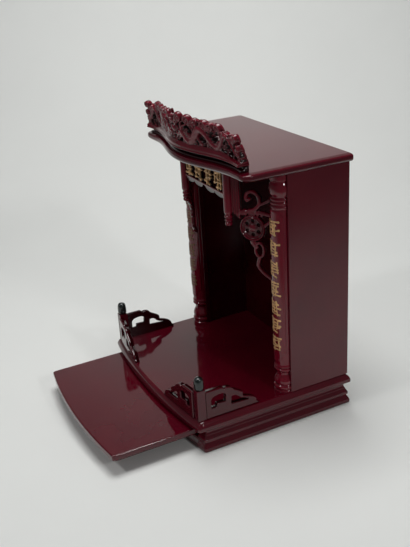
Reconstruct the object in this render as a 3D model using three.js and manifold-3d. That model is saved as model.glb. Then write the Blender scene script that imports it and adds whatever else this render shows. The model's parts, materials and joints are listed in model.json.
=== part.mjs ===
// A lacquered household altar: a raised niche with a carved crest, turned columns and a pull-out tray.
// Millimetres, +Z up. X runs along the front, -Y is the front, the floor is z = 0 and the cabinet's
// back edges lie on y = 0. The cabinet and everything fixed to it stand still; the tray slides.

import * as THREE from 'three';
import { mergeVertices } from 'three/addons/utils/BufferGeometryUtils.js';
import Module from 'manifold-3d';

const wasm = await Module();
wasm.setup();

// ---------------------------------------------------------------- driving dimensions

const JOINT = 0.3; // gap left between pieces that touch

const PLINTH = { top: 50.7, halfWidth: 225.1, back: 3, bow: -379, cornerIn: 220, cornerY: -354, wall: 20 };
const SLOT = { halfWidth: 198, sill: 24.9 };
const RUNNER = { width: 16, bottom: 12, setBack: 46 };
const BOARD = { bottom: 51, top: 72.7, halfWidth: 226.6, back: 4, bow: -390, cornerIn: 219, cornerY: -360 };
const TRAY = { bottom: 25.2, top: 47.2, halfWidth: 196, back: -262, bow: -562, cornerIn: 192, cornerY: -539 };
const ROOF = { bottom: 555.5, top: 570, halfWidth: 229, back: 2, cornerIn: 207, cornerY: -222 };
const ROOF_SWELL = { shoulder: -244, depth: 30, reach: 178 };
const BOW_DEPTH = 18; // how far the bowed fronts fall back ...
const BOW_REACH = 210; // ... at this distance from the middle

const CABINET = { halfWidth: 220, depth: 145, panel: 12, innerFace: 177, backRecess: 15 };
const STILE = { inner: 171, thick: 11 };
const CASE_FLOOR = BOARD.top + JOINT;
const CASE_TOP = ROOF.bottom - JOINT;

const COLUMN = { x: 194.6, y: -CABINET.depth - JOINT, sides: 14, shaft: 20.2, ring: 21.8, panelRaise: 1.4 };
const COLUMN_PANEL = { bottom: 144.6, top: 480, halfWidth: 20.4, narrow: 15, shoulder: 15, foot: 22 };
const COLUMN_MARKS = { count: 7, first: 443, last: 187.5, height: 36, width: 18, rows: 3, spread: 0.62 };
const DASH = { height: 4.6, depth: 3 };

const PENDANT = { x: 99, y: -211, radius: 9, sides: 8 };
const VALANCE = { halfWidth: 89.2, bottom: 482, thick: 8, groups: 4, dashRows: 4, gapLow: 3.6, gapTop: 5 };
const BRACKET = { thick: 9, ring: 28, ringAt: [53.6, 430.5] };
const RING_HOLES = { count: 6, radius: 4.2, reach: 16 };
const LOOP = { at: [68, 384.5], outer: [12.5, 19], inner: [6.3, 11.5] }; // oval link under the ring

const FENCE = { x: 216, y: -364, post: 19, postHeight: 70, thick: 11, height: 63, design: 150, front: 145 };
const KNOB = { radius: 10.8, height: 28, sides: 10 };

const CREST = { foot: 570.3, rail: 582.5, railTop: 592, coveTop: 599, top: 666, railEnd: 210 };
const CREST_PLATE = { thick: 20, thin: 11, sink: 7 };
const CREST_BODY = 208; // the carved part between the end scallops reaches this far
const CREST_PLAN = { middle: -251.6, swing: 15.1, reach: 172.5 };
const CREST_FOOT = { halfWidth: 207, toe: 1.5, front: 9, back: 19.6, steps: 14 };
const RAIL_PROUD = { bottom: 13.8, top: 4.5 };
const CREST_LEAN = Math.tan(THREE.MathUtils.degToRad(12));
const CREST_CELL = { across: 8, up: 7 };
const CLEAR = 5; // how far a cutting block reaches past what it cuts

// ---------------------------------------------------------------- finishes

const lacquer = new THREE.MeshStandardMaterial({ color: 0x5c1a20, roughness: 0.22, metalness: 0 });
const darkLacquer = new THREE.MeshStandardMaterial({ color: 0x3a0d12, roughness: 0.3, metalness: 0 });
const carvedLacquer = new THREE.MeshStandardMaterial({ color: 0x6b1f24, roughness: 0.28, metalness: 0 });
const deepLacquer = new THREE.MeshStandardMaterial({ color: 0x441318, roughness: 0.28, metalness: 0 });
const knobPaint = new THREE.MeshStandardMaterial({ color: 0x0f1614, roughness: 0.25, metalness: 0 });

// ---------------------------------------------------------------- shared geometry helpers

function meshFromTriangles(positions, indices) {
  const geometry = new THREE.BufferGeometry();
  geometry.setAttribute('position', new THREE.Float32BufferAttribute(positions, 3));
  geometry.setIndex(indices);
  geometry.computeVertexNormals();
  return geometry;
}

// A closed body through a stack of level outlines, lowest first, all with the same number of points.
function stackOutlines(outlines, heights) {
  const count = outlines[0].length;
  const positions = outlines.flatMap((ring, level) => ring.flatMap((p) => [p.x, p.y, heights[level]]));
  const indices = [];
  for (let level = 0; level + 1 < outlines.length; level += 1) {
    for (let i = 0; i < count; i += 1) {
      const a = level * count + i;
      const b = level * count + ((i + 1) % count);
      indices.push(a, b, b + count, a, b + count, a + count);
    }
  }
  const topStart = (outlines.length - 1) * count;
  for (const [a, b, c] of THREE.ShapeUtils.triangulateShape(outlines[0], [])) indices.push(a, c, b);
  for (const [a, b, c] of THREE.ShapeUtils.triangulateShape(outlines.at(-1), [])) {
    indices.push(topStart + a, topStart + b, topStart + c);
  }
  return meshFromTriangles(positions, indices);
}

// Plan outline of a board: straight back and sides, rounded front corners and a shaped front edge.
function boardOutline(board, frontAt, inset, backInset, steps) {
  const halfWidth = board.halfWidth - inset;
  const cornerIn = board.cornerIn - inset;
  const half = [new THREE.Vector2(halfWidth, board.back - backInset)];
  const cornerFront = new THREE.Vector2(cornerIn, frontAt(board.cornerIn) + inset);
  const corner = new THREE.QuadraticBezierCurve(
    new THREE.Vector2(halfWidth, board.cornerY + inset),
    new THREE.Vector2(halfWidth, cornerFront.y),
    cornerFront,
  );
  half.push(...corner.getPoints(3));
  for (let i = 1; i <= steps; i += 1) {
    const along = 1 - i / steps;
    half.push(new THREE.Vector2(cornerIn * along, frontAt(board.cornerIn * along) + inset));
  }
  const mirrored = half.slice(0, -1).map((p) => new THREE.Vector2(-p.x, p.y));
  return [...mirrored, ...half.reverse()];
}

// A board whose edge follows a moulding: pairs of [inset from the outline, height].
function mouldedBoard(board, frontAt, moulding, { steps = 6, backFollows = false } = {}) {
  const outlines = moulding.map(([inset]) => {
    const backInset = backFollows ? inset : 0;
    return boardOutline(board, frontAt, inset, backInset, steps);
  });
  return stackOutlines(outlines, moulding.map(([, height]) => height));
}

function bowedFront(board) {
  return (x) => board.bow + BOW_DEPTH * (x / BOW_REACH) ** 2;
}

// The same surface with its shared corners merged, so that it is closed.
function welded(geometry) {
  const bare = geometry.clone();
  bare.deleteAttribute('normal');
  bare.deleteAttribute('uv');
  return mergeVertices(bare, 1e-3);
}

function toSolid(geometry) {
  const merged = welded(geometry);
  const vertProperties = new Float32Array(merged.attributes.position.array);
  const triVerts = new Uint32Array(merged.index.array);
  return new wasm.Manifold(new wasm.Mesh({ numProp: 3, vertProperties, triVerts }));
}

function toGeometry(body) {
  const mesh = body.getMesh();
  return meshFromTriangles(Array.from(mesh.vertProperties), Array.from(mesh.triVerts));
}

function block(x0, x1, y0, y1, z0, z1) {
  const geometry = new THREE.BoxGeometry(x1 - x0, y1 - y0, z1 - z0);
  return geometry.translate((x0 + x1) / 2, (y0 + y1) / 2, (z0 + z1) / 2);
}

// An upright plate: the shape's Y becomes Z and the plate runs from y = 0 to the front at y = -thick.
function uprightPlate(shape, thick, curveSegments = 4) {
  const geometry = new THREE.ExtrudeGeometry(shape, { depth: thick, bevelEnabled: false, curveSegments });
  return geometry.rotateX(Math.PI / 2);
}

// A turned body from pairs of [radius, height], lowest first; both ends close on the axis.
function turned(profile, sides) {
  const points = [[0, profile[0][1]], ...profile, [0, profile.at(-1)[1]]];
  const geometry = new THREE.LatheGeometry(points.map(([r, z]) => new THREE.Vector2(r, z)), sides);
  return geometry.rotateX(Math.PI / 2);
}

// Turns every face over, for a body that has been mirrored.
function turnedOver(geometry) {
  const index = Array.from(geometry.index.array);
  for (let i = 0; i < index.length; i += 3) {
    [index[i + 1], index[i + 2]] = [index[i + 2], index[i + 1]];
  }
  geometry.setIndex(index);
  geometry.computeVertexNormals();
  return geometry;
}

function mirroredX(geometry) {
  return turnedOver(welded(geometry).scale(-1, 1, 1));
}

function piece(name, geometry, material) {
  const mesh = new THREE.Mesh(geometry, material);
  mesh.name = name;
  return mesh;
}

// The same piece on both sides, made for the right-hand side (+X).
function pair(name, geometry, material) {
  return [piece(`${name}_right`, geometry, material), piece(`${name}_left`, mirroredX(geometry), material)];
}

// ---------------------------------------------------------------- plinth, boards and tray

// Foot, slope that runs in under an upright band, second slope and the recess under the board,
// as [inset, height].
const PLINTH_MOULDING = [
  [1.7, 0], [0, 2], [0, 9], [6, 20.8], [3, 22], [3, 28.2], [7.2, 35.8], [7.4, 37], [9.8, 41],
  [9.8, PLINTH.top],
];

function plinthRails() {
  const frontAt = bowedFront(PLINTH);
  const outside = toSolid(mouldedBoard(PLINTH, frontAt, PLINTH_MOULDING, { backFollows: true }));
  const inside = { ...PLINTH, back: PLINTH.back - PLINTH.wall };
  const upright = [[PLINTH.wall, -CLEAR], [PLINTH.wall, PLINTH.top + CLEAR]];
  const frame = outside.subtract(toSolid(mouldedBoard(inside, frontAt, upright)));
  const within = (box) => toGeometry(frame.intersect(toSolid(box)));
  const reach = PLINTH.halfWidth + CLEAR;
  const front = PLINTH.bow - CLEAR;
  const backFace = PLINTH.back - PLINTH.wall;
  const behind = PLINTH.back + CLEAR;
  const sideInner = PLINTH.halfWidth - PLINTH.wall;
  const full = [-CLEAR, PLINTH.top + CLEAR];
  const side = within(block(SLOT.halfWidth, reach, front, behind, ...full));
  const backRail = within(block(-sideInner + JOINT, sideInner - JOINT, backFace, behind, ...full));
  const frontEdge = SLOT.halfWidth - JOINT;
  const frontRail = within(block(-frontEdge, frontEdge, front, -reach, -CLEAR, SLOT.sill));
  const backSpace = toSolid(block(-sideInner, sideInner, backFace - JOINT, behind, ...full));
  return [
    piece('plinth_front', frontRail, lacquer),
    piece('plinth_back', backRail, lacquer),
    ...pair('plinth', toGeometry(toSolid(side).subtract(backSpace)), lacquer),
  ];
}

// Bullnose edge of the base board with a long round over its top, as [inset, height].
const BOARD_MOULDING = [
  [3.8, BOARD.bottom], [0.4, 53.2], [0, 55.8], [0, 60.6], [1.6, 65], [4.8, 70], [9.2, BOARD.top],
];
// Small round over an upright edge, and a cove below it.
const TRAY_MOULDING = [[11, TRAY.bottom], [7, 28.5], [3, 34.5], [0, 35.4], [0, 45.4], [1.8, TRAY.top]];
// Chamfer, upright face and a thumbnail round up to the flat top.
const ROOF_MOULDING = [
  [3.2, ROOF.bottom], [0, 559.4], [0, 565.4], [0.9, 567.6], [3, 568.8], [8, 569.5], [13, ROOF.top],
];

// The roof's front edge swells forward in the middle and runs straight towards the corners.
function roofFront(x) {
  const share = Math.min(Math.abs(x) / ROOF_SWELL.reach, 1);
  return ROOF_SWELL.shoulder - (ROOF_SWELL.depth * (1 + Math.cos(Math.PI * share))) / 2;
}

function trayRunner() {
  const outer = PLINTH.halfWidth - PLINTH.wall - JOINT;
  const rear = PLINTH.back - PLINTH.wall - JOINT;
  return block(outer - RUNNER.width, outer, PLINTH.bow + RUNNER.setBack, rear, RUNNER.bottom, SLOT.sill);
}

// ---------------------------------------------------------------- cabinet

function cabinetPanels() {
  const { halfWidth, depth, panel, innerFace, backRecess } = CABINET;
  const sideInner = halfWidth - panel;
  const backFront = -backRecess - panel;
  const side = block(sideInner, halfWidth, -depth, 0, CASE_FLOOR, CASE_TOP);
  const back = block(
    -sideInner + JOINT, sideInner - JOINT, backFront, -backRecess, CASE_FLOOR, CASE_TOP,
  );
  const stileBack = -depth + STILE.thick;
  const innerWall = block(
    innerFace, innerFace + panel, stileBack + JOINT, backFront - JOINT, CASE_FLOOR, CASE_TOP,
  );
  const stileBoard = block(STILE.inner, sideInner - JOINT, -depth, stileBack, CASE_FLOOR, CASE_TOP);
  return [
    ...pair('side_panel', side, lacquer),
    ...pair('inner_wall', innerWall, darkLacquer),
    ...pair('stile', stileBoard, lacquer),
    piece('back_panel', back, darkLacquer),
  ];
}

// ---------------------------------------------------------------- raised marks

// Short raised dashes in a loose group; they lean to and fro and spell nothing.
function dashGroup(seed, width, height, rows) {
  const dashes = [];
  for (let row = 0; row < rows; row += 1) {
    const swing = Math.sin(seed * 2.3 + row * 1.9);
    dashes.push({
      across: swing * width * 0.14,
      up: height * ((row + 0.5) / rows - 0.5),
      length: width * (0.72 - 0.18 * Math.cos(seed + row * 2.6)),
      tilt: 0.32 * (row % 2 ? 1 : -1) + 0.25 * swing,
    });
  }
  return dashes;
}

// ---------------------------------------------------------------- columns

// Base rings, vase, neck rings, long shaft, three rings, cup and abacus, as [radius, height].
const COLUMN_PROFILE = [
  [22.6, CASE_FLOOR], [20.6, 76], [23.6, 80.6], [23.6, 84.4], [20, 88], [22.2, 91.8], [21.4, 100.6],
  [16.8, 110], [16.2, 117.6], [18.8, 121.1], [COLUMN.ring, 125], [19, 128.8], [COLUMN.ring, 132.8],
  [COLUMN.shaft, 137], [COLUMN.shaft, 481.5], [COLUMN.ring, 486], [19.4, 490], [COLUMN.ring, 493.8],
  [19.4, 497.6], [COLUMN.ring, 501.3], [18.6, 505], [20.4, 509.6], [23.2, 518.6], [22.8, 528.6],
  [19.4, 537.6], [21.8, 540.4], [21.8, CASE_TOP],
];

// Raised panel of the shaft: round foot, full width, slanting shoulders.
function columnPanelShape() {
  const { bottom, top, halfWidth, narrow, shoulder, foot } = COLUMN_PANEL;
  const shape = new THREE.Shape();
  shape.moveTo(-narrow, bottom + narrow);
  shape.quadraticCurveTo(-narrow, bottom, 0, bottom);
  shape.quadraticCurveTo(narrow, bottom, narrow, bottom + narrow);
  shape.lineTo(halfWidth, bottom + foot);
  shape.lineTo(halfWidth, top - shoulder);
  shape.lineTo(narrow, top);
  shape.lineTo(-narrow, top);
  shape.lineTo(-halfWidth, top - shoulder);
  shape.lineTo(-halfWidth, bottom + foot);
  return shape;
}

function columnBody() {
  const panelRadius = COLUMN.shaft + COLUMN.panelRaise;
  const outside = 2 * panelRadius;
  const { bottom, top } = COLUMN_PANEL;
  const shell = turned([[panelRadius, bottom - CLEAR], [panelRadius, top + CLEAR]], COLUMN.sides);
  const panel = toSolid(uprightPlate(columnPanelShape(), outside, 3)).intersect(toSolid(shell));
  const { count, first, last, height, width, rows, spread } = COLUMN_MARKS;
  let whole = toSolid(turned(COLUMN_PROFILE, COLUMN.sides)).add(panel);
  for (let i = 0; i < count; i += 1) {
    const centre = first + ((last - first) * i) / (count - 1);
    dashGroup(i, width, height, rows).forEach(({ up, length, tilt }, row) => {
      const dash = new THREE.BoxGeometry(length, DASH.depth, DASH.height);
      dash.rotateY(-tilt).translate(0, DASH.depth * 0.3 - panelRadius, centre + up);
      whole = whole.add(toSolid(dash.rotateZ(spread * Math.cos(2.1 * row + i))));
    });
  }
  const rearHalf = toSolid(block(-outside, outside, 0, outside, 0, ROOF.top));
  return toGeometry(whole.subtract(rearHalf)).translate(COLUMN.x, COLUMN.y, 0);
}

// ---------------------------------------------------------------- pendants, valance and brackets

const PENDANT_PROFILE = [
  [3.5, 428.5], [6.6, 430.5], [7.6, 434], [5.4, 438], [8, 441], [5.6, 444.6], [8.4, 449], [6.4, 453],
  [PENDANT.radius, 458], [PENDANT.radius, CASE_TOP],
];

function valanceShape() {
  const { halfWidth, bottom } = VALANCE;
  const half = [[halfWidth, CASE_TOP], [halfWidth, bottom + 9]];
  const lobes = [[68, 20], [27, 20]];
  for (const [centre, reach] of lobes) {
    for (let i = 0; i <= 4; i += 1) {
      const angle = (Math.PI * i) / 4;
      half.push([centre + reach * Math.cos(angle), bottom + 7 - 7 * Math.sin(angle)]);
    }
  }
  half.push([0, bottom + 11]);
  const mirrored = half.slice(0, -1).reverse().map(([x, z]) => [-x, z]);
  return new THREE.Shape([...half, ...mirrored].map(([x, z]) => new THREE.Vector2(x, z)));
}

function valance() {
  const { halfWidth, groups, bottom, thick, dashRows, gapLow, gapTop } = VALANCE;
  const shape = valanceShape();
  const pitch = (2 * halfWidth) / groups;
  for (let i = 1; i < groups; i += 1) {
    const x = -halfWidth + pitch * i;
    const top = CASE_TOP - 10 - i;
    const low = bottom + 22 + i;
    shape.holes.push(new THREE.Path([
      new THREE.Vector2(x - gapLow, low), new THREE.Vector2(x + gapLow, low),
      new THREE.Vector2(x + gapTop, top), new THREE.Vector2(x - gapTop, top),
    ]));
  }
  let whole = toSolid(uprightPlate(shape, thick));
  for (let i = 0; i < groups; i += 1) {
    const centre = -halfWidth + pitch * (i + 0.5);
    for (const { across, up, length, tilt } of dashGroup(i + groups, pitch * 0.78, 40, dashRows)) {
      const dash = new THREE.BoxGeometry(length, DASH.depth, DASH.height);
      dash.rotateY(-tilt).translate(centre + across, -thick, CASE_TOP - 31 + up);
      whole = whole.add(toSolid(dash));
    }
  }
  return toGeometry(whole).translate(0, PENDANT.y + thick / 2, 0);
}

// A flat band of even width along a curve, closed round both ends.
function bandShape(curve, startWidth, endWidth, steps) {
  const left = [];
  const right = [];
  for (let i = 0; i <= steps; i += 1) {
    const u = i / steps;
    const point = curve.getPoint(u);
    const tangent = curve.getTangent(u);
    const half = THREE.MathUtils.lerp(startWidth, endWidth, u) / 2;
    left.push(new THREE.Vector2(point.x - tangent.y * half, point.y + tangent.x * half));
    right.push(new THREE.Vector2(point.x + tangent.y * half, point.y - tangent.x * half));
  }
  return new THREE.Shape([...left, ...right.reverse()]);
}

function smoothCurve(points) {
  return new THREE.SplineCurve(points.map(([x, y]) => new THREE.Vector2(x, y)));
}

// Pierced bracket, drawn in its own plane: X runs from the pendant's axis towards the column.
function bracketPlate(reach) {
  const { thick, ring, ringAt } = BRACKET;
  const [ringX, ringZ] = ringAt;
  const strip = new THREE.Shape([
    new THREE.Vector2(PENDANT.radius + JOINT, CASE_TOP), new THREE.Vector2(PENDANT.radius + JOINT, 461),
    new THREE.Vector2(27, 447), new THREE.Vector2(27, CASE_TOP),
  ]);
  const scroll = smoothCurve([
    [41, 494], [43, 502], [53, 507], [64, 503], [70, 493], [69, 481], [60, 471], [46, 465], [34, 460],
  ]);
  const curl = smoothCurve([[49, 491], [44, 487], [40, 493], [42, 502]]);
  const crown = smoothCurve([[24, 458], [38, 464], [54, 462], [70, 464], [reach, 460]]);
  const linkUp = smoothCurve([[67, 480], [79, 485], [reach, 496]]);
  const sideLink = smoothCurve([[76, 434], [86, 442], [reach, 452]]);
  const neck = smoothCurve([[53, 406], [54, 399], [60, 391]]);
  const tail = smoothCurve([[67, 367], [64, 350], [74, 336], [reach, 321]]);
  const loop = new THREE.Shape().absellipse(...LOOP.at, ...LOOP.outer, 0, 2 * Math.PI);
  loop.holes.push(new THREE.Path().absellipse(...LOOP.at, ...LOOP.inner, 0, 2 * Math.PI, true));
  const disc = turned([[ring, -thick / 2], [ring, 2.6], [ring - 3, thick / 2], [ring - 6, 2.4],
    [8.5, 2.2], [7, thick / 2]], 12).rotateX(Math.PI / 2).translate(ringX, -thick / 2, ringZ);
  const plates = [
    uprightPlate(strip, thick),
    uprightPlate(bandShape(scroll, 7.5, 9, 9), thick - 1),
    uprightPlate(bandShape(curl, 5, 5, 4), thick + 0.6),
    uprightPlate(bandShape(crown, 9, 9, 6), thick - 0.6),
    uprightPlate(bandShape(linkUp, 6, 8, 3), thick - 1.4),
    uprightPlate(bandShape(sideLink, 8, 8, 3), thick - 1.6),
    uprightPlate(bandShape(neck, 14, 12, 3), thick - 1.2),
    uprightPlate(loop, thick),
    uprightPlate(bandShape(tail, 8, 7.5, 6), thick - 0.8),
  ];
  let whole = plates.map(toSolid).reduce((sum, next) => sum.add(next)).add(toSolid(disc));
  for (let i = 0; i < RING_HOLES.count; i += 1) {
    const angle = (Math.PI * (2 * i + 1)) / RING_HOLES.count;
    const hole = new THREE.CylinderGeometry(RING_HOLES.radius, RING_HOLES.radius, 4 * thick, 6);
    hole.translate(ringX + RING_HOLES.reach * Math.cos(angle), 0, ringZ + RING_HOLES.reach * Math.sin(angle));
    whole = whole.subtract(toSolid(hole));
  }
  return toGeometry(whole.subtract(toSolid(block(reach, 2 * reach, -2 * thick, thick, 0, ROOF.top))));
}

function bracket() {
  const run = Math.hypot(COLUMN.x - PENDANT.x, COLUMN.y - PENDANT.y);
  const reach = run - COLUMN.ring - JOINT;
  const angle = Math.atan2(COLUMN.y - PENDANT.y, COLUMN.x - PENDANT.x);
  const plate = bracketPlate(reach).translate(0, BRACKET.thick / 2, 0);
  return plate.rotateZ(angle).translate(PENDANT.x, PENDANT.y, 0);
}

// ---------------------------------------------------------------- fences

// Level rail that steps down in cloud lobes to the floor, with two pierced openings, drawn 150 mm long.
function fenceShape(length) {
  const start = FENCE.post + JOINT;
  const rail = FENCE.height;
  const k = length / FENCE.design;
  const shape = new THREE.Shape();
  shape.moveTo(start, 0);
  shape.lineTo(141 * k, 0);
  shape.quadraticCurveTo(141 * k, 5, 136 * k, 6);
  shape.quadraticCurveTo(136 * k, 14, 130 * k, 17.5);
  shape.quadraticCurveTo(120 * k, 24, 105 * k, 27);
  shape.lineTo(104 * k, 38);
  shape.quadraticCurveTo(95 * k, 44, 84 * k, 50);
  shape.quadraticCurveTo(79 * k, 59, 70 * k, 59.5);
  shape.quadraticCurveTo(64 * k, 60, 62 * k, 57.5);
  shape.quadraticCurveTo(60 * k, rail, 54 * k, rail);
  shape.lineTo(start, rail);
  const wide = new THREE.Path();
  wide.moveTo(31 * k, 22);
  wide.lineTo(43 * k, 22);
  wide.lineTo(44 * k, 30);
  wide.lineTo(64 * k, 29);
  wide.lineTo(65.5 * k, 43);
  wide.quadraticCurveTo(62 * k, 49, 54 * k, 49.5);
  wide.quadraticCurveTo(33 * k, 50, 31 * k, 40);
  const narrow = new THREE.Path();
  narrow.moveTo(77 * k, 18.5);
  narrow.lineTo(117 * k, 16);
  narrow.quadraticCurveTo(117 * k, 21, 108 * k, 22);
  narrow.quadraticCurveTo(98 * k, 24, 92 * k, 32);
  narrow.quadraticCurveTo(86 * k, 38, 78 * k, 35);
  shape.holes.push(wide, narrow);
  return shape;
}

// Side fence: the plate turned to run back from the corner post along the board's edge.
function sideFence() {
  const plate = uprightPlate(fenceShape(FENCE.design), FENCE.thick, 3);
  return plate.rotateZ(Math.PI / 2).translate(FENCE.x - FENCE.thick, FENCE.y, CASE_FLOOR);
}

// Front fence: runs towards the middle, bent to keep its distance from the bowed edge.
function frontFence() {
  const plate = uprightPlate(fenceShape(FENCE.front), FENCE.thick, 3);
  const frontAt = bowedFront(BOARD);
  const setBack = FENCE.y - frontAt(FENCE.x);
  const place = plate.attributes.position;
  for (let i = 0; i < place.count; i += 1) {
    const x = FENCE.x - place.getX(i);
    const fromFront = FENCE.thick + place.getY(i);
    place.setXYZ(i, x, frontAt(x) + setBack + fromFront, place.getZ(i) + CASE_FLOOR);
  }
  return turnedOver(welded(plate));
}

function fencePost() {
  const { x, y, post, postHeight } = FENCE;
  return block(x - post, x, y, y + post, CASE_FLOOR, CASE_FLOOR + postHeight);
}

function knob() {
  const { radius, height, sides } = KNOB;
  const base = CASE_FLOOR + FENCE.postHeight + JOINT;
  const profile = [
    [radius * 0.8, base], [radius * 0.86, base + 1.5], [radius, base + 4], [radius, base + 9],
    [radius * 0.95, base + height * 0.72], [radius * 0.8, base + height * 0.9],
    [radius * 0.45, base + height],
  ];
  return turned(profile, sides).translate(FENCE.x - FENCE.post / 2, FENCE.y + FENCE.post / 2, 0);
}

// ---------------------------------------------------------------- crest

// Outline of one half of the crest: round cloud lobes as [x, height, radius] along its top and end.
const CREST_LOBES = [
  [0, 652, 14], [24, 648, 15], [50, 647, 14], [73, 645, 11], [97, 643, 13], [117, 640, 13],
  [137, 641.5, 12.5], [158, 629, 12], [181, 627, 12.5], [201.5, 633.5, 11.5], [204, 617, 9],
  [203.5, 604, 9], [206, 592, 7],
];
// Openings cut right through one half, as [x, height, half-width, half-height].
const CREST_OPENINGS = [
  [20, 634, 5, 4], [56, 622, 5, 5], [88, 617.5, 9.5, 6], [132, 622.5, 10.5, 5.5], [170, 611, 6, 5],
];
const PEARL = { height: 624, radius: 11 };
const DRAGON = { middle: 615, swing: 16, wave: 78, crestAt: 86, from: 46, to: 194, thick: 9.5, tail: 4 };

function dragonHeight(x) {
  const { middle, swing, wave, crestAt } = DRAGON;
  return middle + swing * Math.cos((2 * Math.PI * (x - crestAt)) / wave);
}

// Each carved stroke is a chain of round beads: [x, height, radius, relief].
function dragonBeads() {
  const { from, to, thick, tail } = DRAGON;
  const beads = [];
  for (let x = from; x <= to; x += 3) {
    beads.push([x, dragonHeight(x), THREE.MathUtils.mapLinear(x, from, to, thick, tail), 6]);
  }
  return beads;
}

function headBeads() {
  const brow = [[27, 619, 10, 7], [19, 614, 6, 6]];
  const horns = [0, 1, 2, 3].map((i) => [32 + 5 * i, 627 + 4.5 * i, 4.4 - 0.6 * i, 6]);
  return [...brow, ...horns];
}

// A scroll that winds inwards once round.
function voluteBeads([x, height, radius]) {
  const beads = [];
  for (let i = 0; i <= 9; i += 1) {
    const angle = -0.6 + (Math.PI * 1.6 * i) / 9;
    const reach = radius * (0.72 - 0.05 * i);
    beads.push([x + reach * Math.cos(angle), height + reach * Math.sin(angle), radius * 0.3, 4.5]);
  }
  return beads;
}

// Leaf blades that spring from the rail and lean outwards.
function leafBeads() {
  const beads = [];
  for (let blade = 0; blade < 4; blade += 1) {
    const lean = -0.5 + 0.42 * blade;
    for (let i = 0; i < 5; i += 1) {
      const out = 5 * i;
      beads.push([66 + 7 * blade + out * Math.sin(lean), 600 + out * Math.cos(lean), 3.6 - 0.4 * i, 4]);
    }
  }
  return beads;
}

const LOW_SCROLLS = [[88, 608, 11], [150, 607, 11], [166, 607, 9], [12, 606, 10]];
const CREST_BEADS = [
  ...dragonBeads(), ...headBeads(), ...leafBeads(), [0, PEARL.height, PEARL.radius, 7],
  ...CREST_LOBES.flatMap(voluteBeads), ...LOW_SCROLLS.flatMap(voluteBeads),
];

// Distance inside the crest's outline, positive in the wood.
function crestInside(acrossX, height) {
  const x = Math.abs(acrossX);
  let inside = -Infinity;
  for (const [cx, cz, r] of CREST_LOBES) {
    inside = Math.max(inside, r - Math.hypot(x - cx, height - cz));
  }
  const shoulder = 648 - 0.07 * x - 24 * THREE.MathUtils.smoothstep(x, 178, CREST_BODY);
  inside = Math.max(inside, Math.min(shoulder - height, CREST_BODY - x));
  inside = Math.max(inside, Math.min(CREST.railTop - height, CREST.railEnd - x));
  for (const [cx, cz, a, b] of CREST_OPENINGS) {
    const round = Math.hypot((x - cx) / a, (height - cz) / b);
    inside = Math.min(inside, (round - 1) * Math.min(a, b));
  }
  return Math.min(inside, height - CREST.rail);
}

// How far the carving stands out from the sunk ground.
function crestRelief(acrossX, height) {
  const x = Math.abs(acrossX);
  let relief = 0;
  if (height < CREST.coveTop) {
    const { bottom, top } = RAIL_PROUD;
    relief = THREE.MathUtils.mapLinear(height, CREST.rail, CREST.coveTop, bottom, top);
  }
  for (const [cx, cz, r, rise] of CREST_BEADS) {
    const off = Math.hypot(x - cx, height - cz) / r;
    if (off < 1) relief = Math.max(relief, rise * Math.sqrt(1 - off * off));
  }
  return relief;
}

function crestFront(x) {
  return CREST_PLAN.middle - CREST_PLAN.swing * Math.cos((Math.PI * x) / CREST_PLAN.reach);
}

// Thick at the rail and thinner towards the top edge.
function crestThickness(height) {
  return THREE.MathUtils.mapLinear(height, CREST.rail, CREST.top, CREST_PLATE.thick, CREST_PLATE.thin);
}

function crestPoint(x, height, behind) {
  return new THREE.Vector3(x, crestFront(x) - (height - CREST.rail) * CREST_LEAN + behind, height);
}

// Corner points and edge crossings of the part of one grid cell that lies inside the outline.
function cellOutline(corners, values) {
  const outline = [];
  corners.forEach((corner, i) => {
    const next = (i + 1) % 4;
    if (values[i] > 0) outline.push({ key: `${corner}`, at: corner, grid: true });
    if (values[i] > 0 !== values[next] > 0) {
      const share = THREE.MathUtils.clamp(values[i] / (values[i] - values[next]), 0.1, 0.9);
      const key = [`${corner}`, `${corners[next]}`].sort().join('/');
      const at = corner.map((c, k) => THREE.MathUtils.lerp(c, corners[next][k], share));
      outline.push({ key, at, grid: false });
    }
  });
  return outline;
}

// Keeps only edges that have no partner running the other way.
function toggleEdge(edges, from, to) {
  if (!edges.delete(`${to}>${from}`)) edges.set(`${from}>${to}`, [from, to]);
}

function loopsOf(edges) {
  const next = new Map([...edges.values()]);
  const loops = [];
  while (next.size > 0) {
    const loop = [];
    let at = next.keys().next().value;
    while (next.has(at)) {
      loop.push(at);
      const following = next.get(at);
      next.delete(at);
      at = following;
    }
    loops.push(loop);
  }
  return loops;
}

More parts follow.
